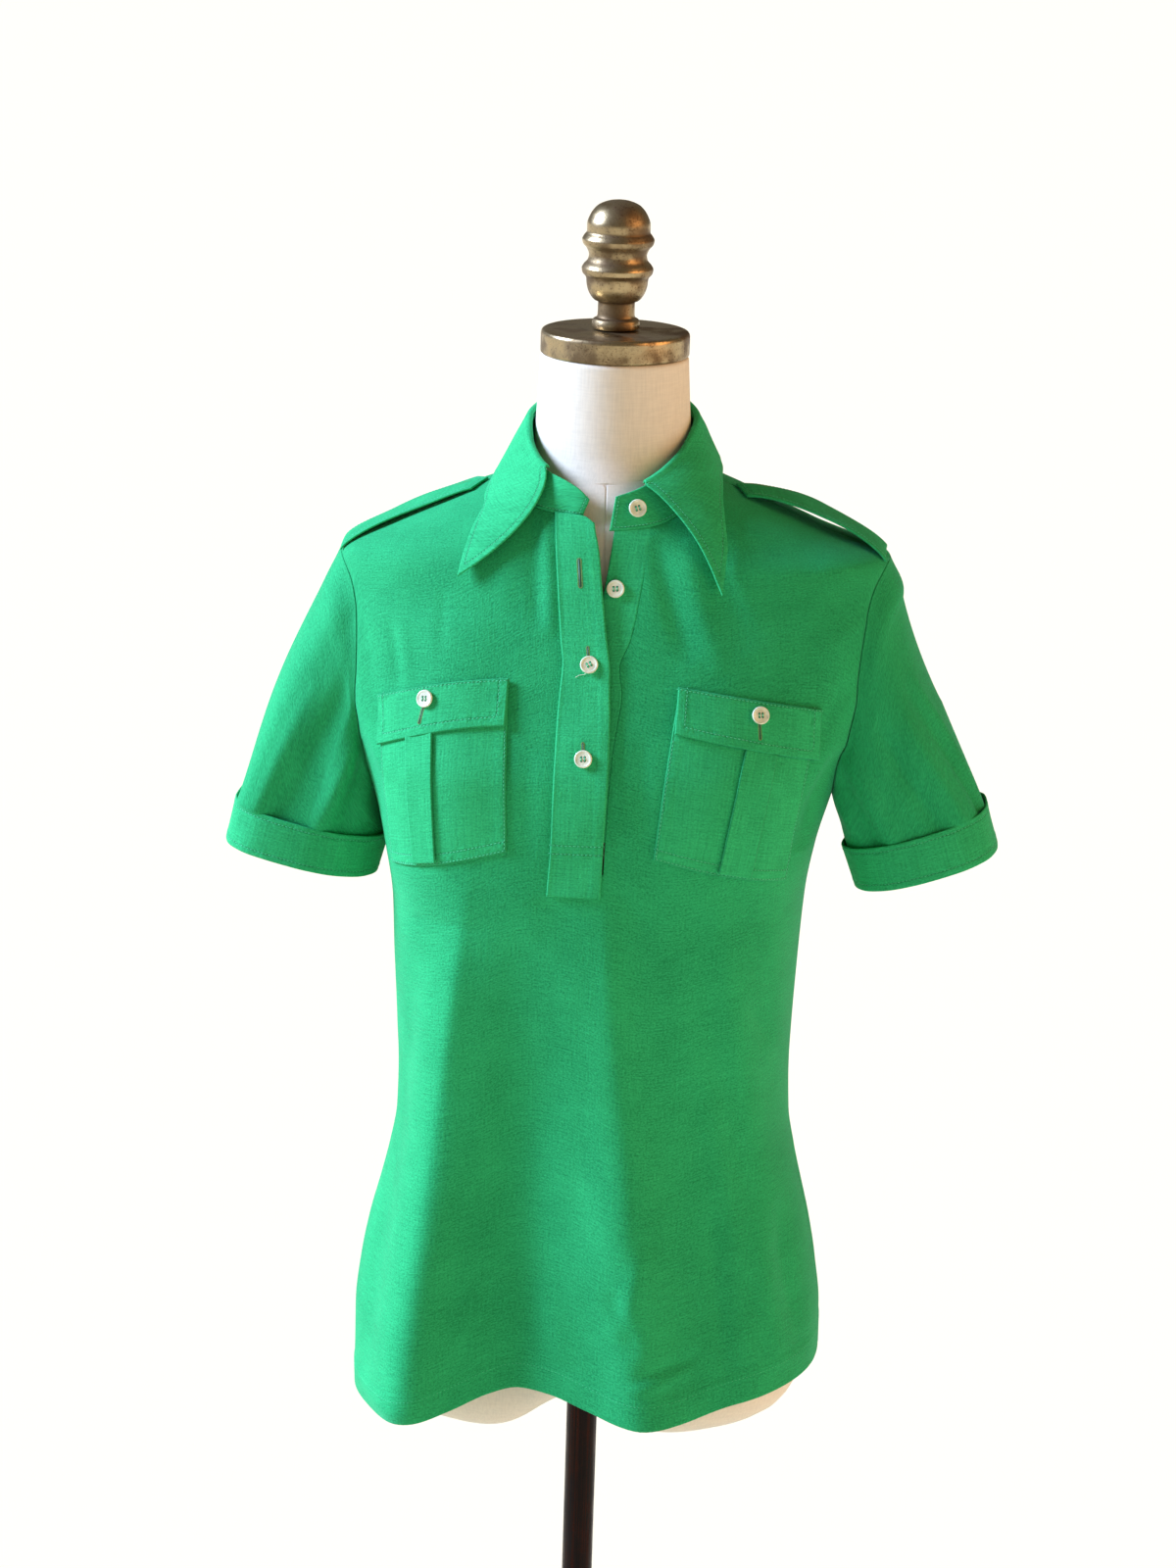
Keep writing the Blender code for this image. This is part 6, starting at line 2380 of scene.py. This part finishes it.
FINIAL = (
    (12, 1288.9), (15.4, 1289.6), (16.2, 1292.5), (15.4, 1295.6), (13, 1297.2), (12.5, 1299.5),
    (12.4, 1307), (15.5, 1309), (18.8, 1313.5), (20.4, 1318.5), (21, 1323.5), (23.6, 1327), (24.1, 1329.8),
    (22.8, 1332.4), (20.2, 1335.5), (19.5, 1339), (20.9, 1343), (23.8, 1346.6), (24.3, 1349.2),
    (23, 1351.8), (21.3, 1354.6), (21.3, 1359.5), (19, 1366), (13.5, 1372.3), (5.5, 1375.2), (1, 1375.6),
)
CAP = ((49.4, 1272.2), (50.3, 1273.2), (50.3, 1286), (49.5, 1287.9), (47.6, 1288.6), (20, 1288.6))
POLE = ((11, 14.4), (11, 609))
BASE = (
    (168, 0), (170, 1.5), (170, 9), (167, 12), (60, 15), (26, 17), (24, 20), (24, 40), (22, 42),
    (11.4, 42), (11.4, 14),
)
METALWORK = (
    Turned("cap_brass", "neck_cap", "antique_brass", BRASS, rounded(CAP, 1), False, 128),
    Turned("finial_brass", "finial", "antique_brass", BRASS, FINIAL, True, 96, 5, 180),
    Turned("pole_bronze", "pole", "dark_bronze", BRONZE, POLE, False, 64),
    Turned("base_bronze", "pole_base", "dark_bronze", BRONZE, rounded(BASE, 1.4), False, 160),
)


# --- what isn't the object ---
def posed(made: Thing, columns: Table) -> None:
    """Turn and place an object by its three axes and its place."""
    made.matrix_world = Matrix([*np.array(columns).T.tolist(), [0, 0, 0, 1]])


@dataclass
class Studio:
    """The floor, the light and the camera."""

    azimuth: float = 5.0
    tilt: float = 15.8
    roll: float = 1.74
    place: tuple[float, float, float] = (0.21921, -2.61225, 1.71200)
    lens: float = 90.0
    sensor: float = 36.0
    floor_half: float = 60.0

    def floor(self) -> None:
        """Lay the plain pale floor."""
        g = Graph("pale_floor")
        g.set(Base_Color=(1, 0.88, 0.60, 1), Roughness=0.95, Specular_IOR_Level=0.1)
        mesh = bpy.data.meshes.new("floor")
        h = self.floor_half
        mesh.from_pydata([(-h, -h, 0), (h, -h, 0), (h, h, 0), (-h, h, 0)], [], [(0, 1, 2, 3)])
        mesh.materials.append(g.material)
        put("floor", mesh)

    def sun(self, name: str, azimuth: float, elevation: float, strength: float,
            colour: Colour, softness: float) -> None:
        """Add a soft far light.

        Args:
            name: its name.
            azimuth: 0 shines from the front and 90 from +X.
            elevation: degrees up.
            strength: its power.
            colour: its colour.
            softness: how wide it is, in degrees.
        """
        lamp = bpy.data.lights.new(name, "SUN")
        lamp.energy = strength
        lamp.color = colour
        lamp.angle = math.radians(softness)
        made = put(name, lamp)
        a, e = math.radians(azimuth), math.radians(elevation)
        toward = np.array([math.sin(a) * math.cos(e), -math.cos(a) * math.cos(e), math.sin(e)])
        side = unit(np.cross(np.array([0, 0, 1]), toward))
        posed(made, (side, np.cross(toward, side), toward, np.zeros(3)))

    def world(self) -> None:
        """Fill the room with even warm light."""
        world = bpy.data.worlds.new("room")
        world.use_nodes = True
        back = world.node_tree.nodes["Background"]
        back.inputs["Color"].default_value = (1, 0.90, 0.70, 1)
        back.inputs["Strength"].default_value = 0.16
        bpy.context.scene.world = world

    def camera(self) -> None:
        """Stand the camera where the view was taken from."""
        t, a, r = (math.radians(v) for v in (self.tilt, self.azimuth, self.roll))
        forward = np.array([-math.sin(a) * math.cos(t), math.cos(a) * math.cos(t), -math.sin(t)])
        right = np.array([math.cos(a), math.sin(a), 0])
        up = np.cross(right, forward)
        x = right * math.cos(r) + up * math.sin(r)
        y = up * math.cos(r) - right * math.sin(r)
        data = bpy.data.cameras.new("camera")
        data.lens = self.lens
        data.sensor_width = self.sensor
        made = put("camera", data)
        posed(made, (x, y, -forward, self.place))
        bpy.context.scene.camera = made

    def build(self) -> None:
        """Set up the studio."""
        self.floor()
        self.sun("window", -87, 29, 6.6, (0.80, 1, 1.46), 24)
        self.sun("room_side", 74, 20, 1.5, (1, 0.52, 0.22), 44)
        self.world()
        self.camera()
        bpy.context.scene.view_settings.view_transform = "Standard"


def sleeves() -> tuple[Sleeve, Sleeve]:
    """Return both sleeves with their sizes."""
    return (Sleeve("L", ARMHOLE_L, -199.5, -8, 949, 52.5, 46, 0.255, 5.5, CREASES_L),
            Sleeve("R", ARMHOLE_R, 217.5, -8, 953, 48.5, 46, 0.330, -3, CREASES_R, outer_power=2.8))


def main() -> None:
    """Build every sub-assembly in order."""
    logging.basicConfig(level=logging.INFO, format="%(name)s: %(message)s")
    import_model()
    tree = StitchTree()
    body_stitches = Stitching("front_stitches")
    collar_stitches = Stitching("collar_stitches", pitch=2.4)
    cuff_stitches = Stitching("cuff_stitches")
    strap_stitches = Stitching("strap_stitches", pitch=2.4)
    BodyPanels().build(tree)
    for sleeve in sleeves():
        sleeve.build(cuff_stitches)
    COLLAR.build(collar_stitches)
    over, under = Placket().build(body_stitches)
    flaps = [pocket.build(body_stitches) for pocket in (POCKET_L, POCKET_R)]
    tan = Stitching("buttonhole_stitches", TAN_THREAD, 0.40, 0.40, 0.17, math.pi / 2)
    strap_holes = Stitching("strap_buttonholes", TAN_THREAD, 0.42, 0.8, 0.17, math.pi / 2)
    for row in (Strap("L", -180.5, -83, 2.4), Strap("R", 188, 84.5, 10.5)):
        row.build(strap_stitches, strap_holes)
    threads = Stitching("button_threads", GREEN_THREAD, 0.5, 0.4, 0.32)
    seats = [(STAND_BUTTON, under), (UNDER_BUTTON, under), *((b, over) for b in OVER_BUTTONS),
             *zip(FLAP_BUTTONS, flaps)]
    for button, shell in seats:
        button.build(threads, shell)
    for number, (slit, shell) in enumerate([*((h, over) for h in OVER_HOLES), *zip(FLAP_HOLES, flaps)]):
        slit.build(f"buttonhole_shade_{number + 1}", tan, shell)
    loose = Stitching("loose_thread", PALE_THREAD, 0.5, 0.45, 0.2)
    at = stations(LOOSE_THREAD, spaced(0, len(LOOSE_THREAD) - 1, 14))
    loose.path(*laid_on(over, at[:, 0], at[:, 1], 0.5))
    for lines in (body_stitches, collar_stitches, cuff_stitches, strap_stitches, tan, strap_holes,
                  threads, loose):
        settle(lines.build(tree))
    DressForm().build()
    for piece in METALWORK:
        piece.build()
    Studio().build()


if __name__ == "__main__":
    main()
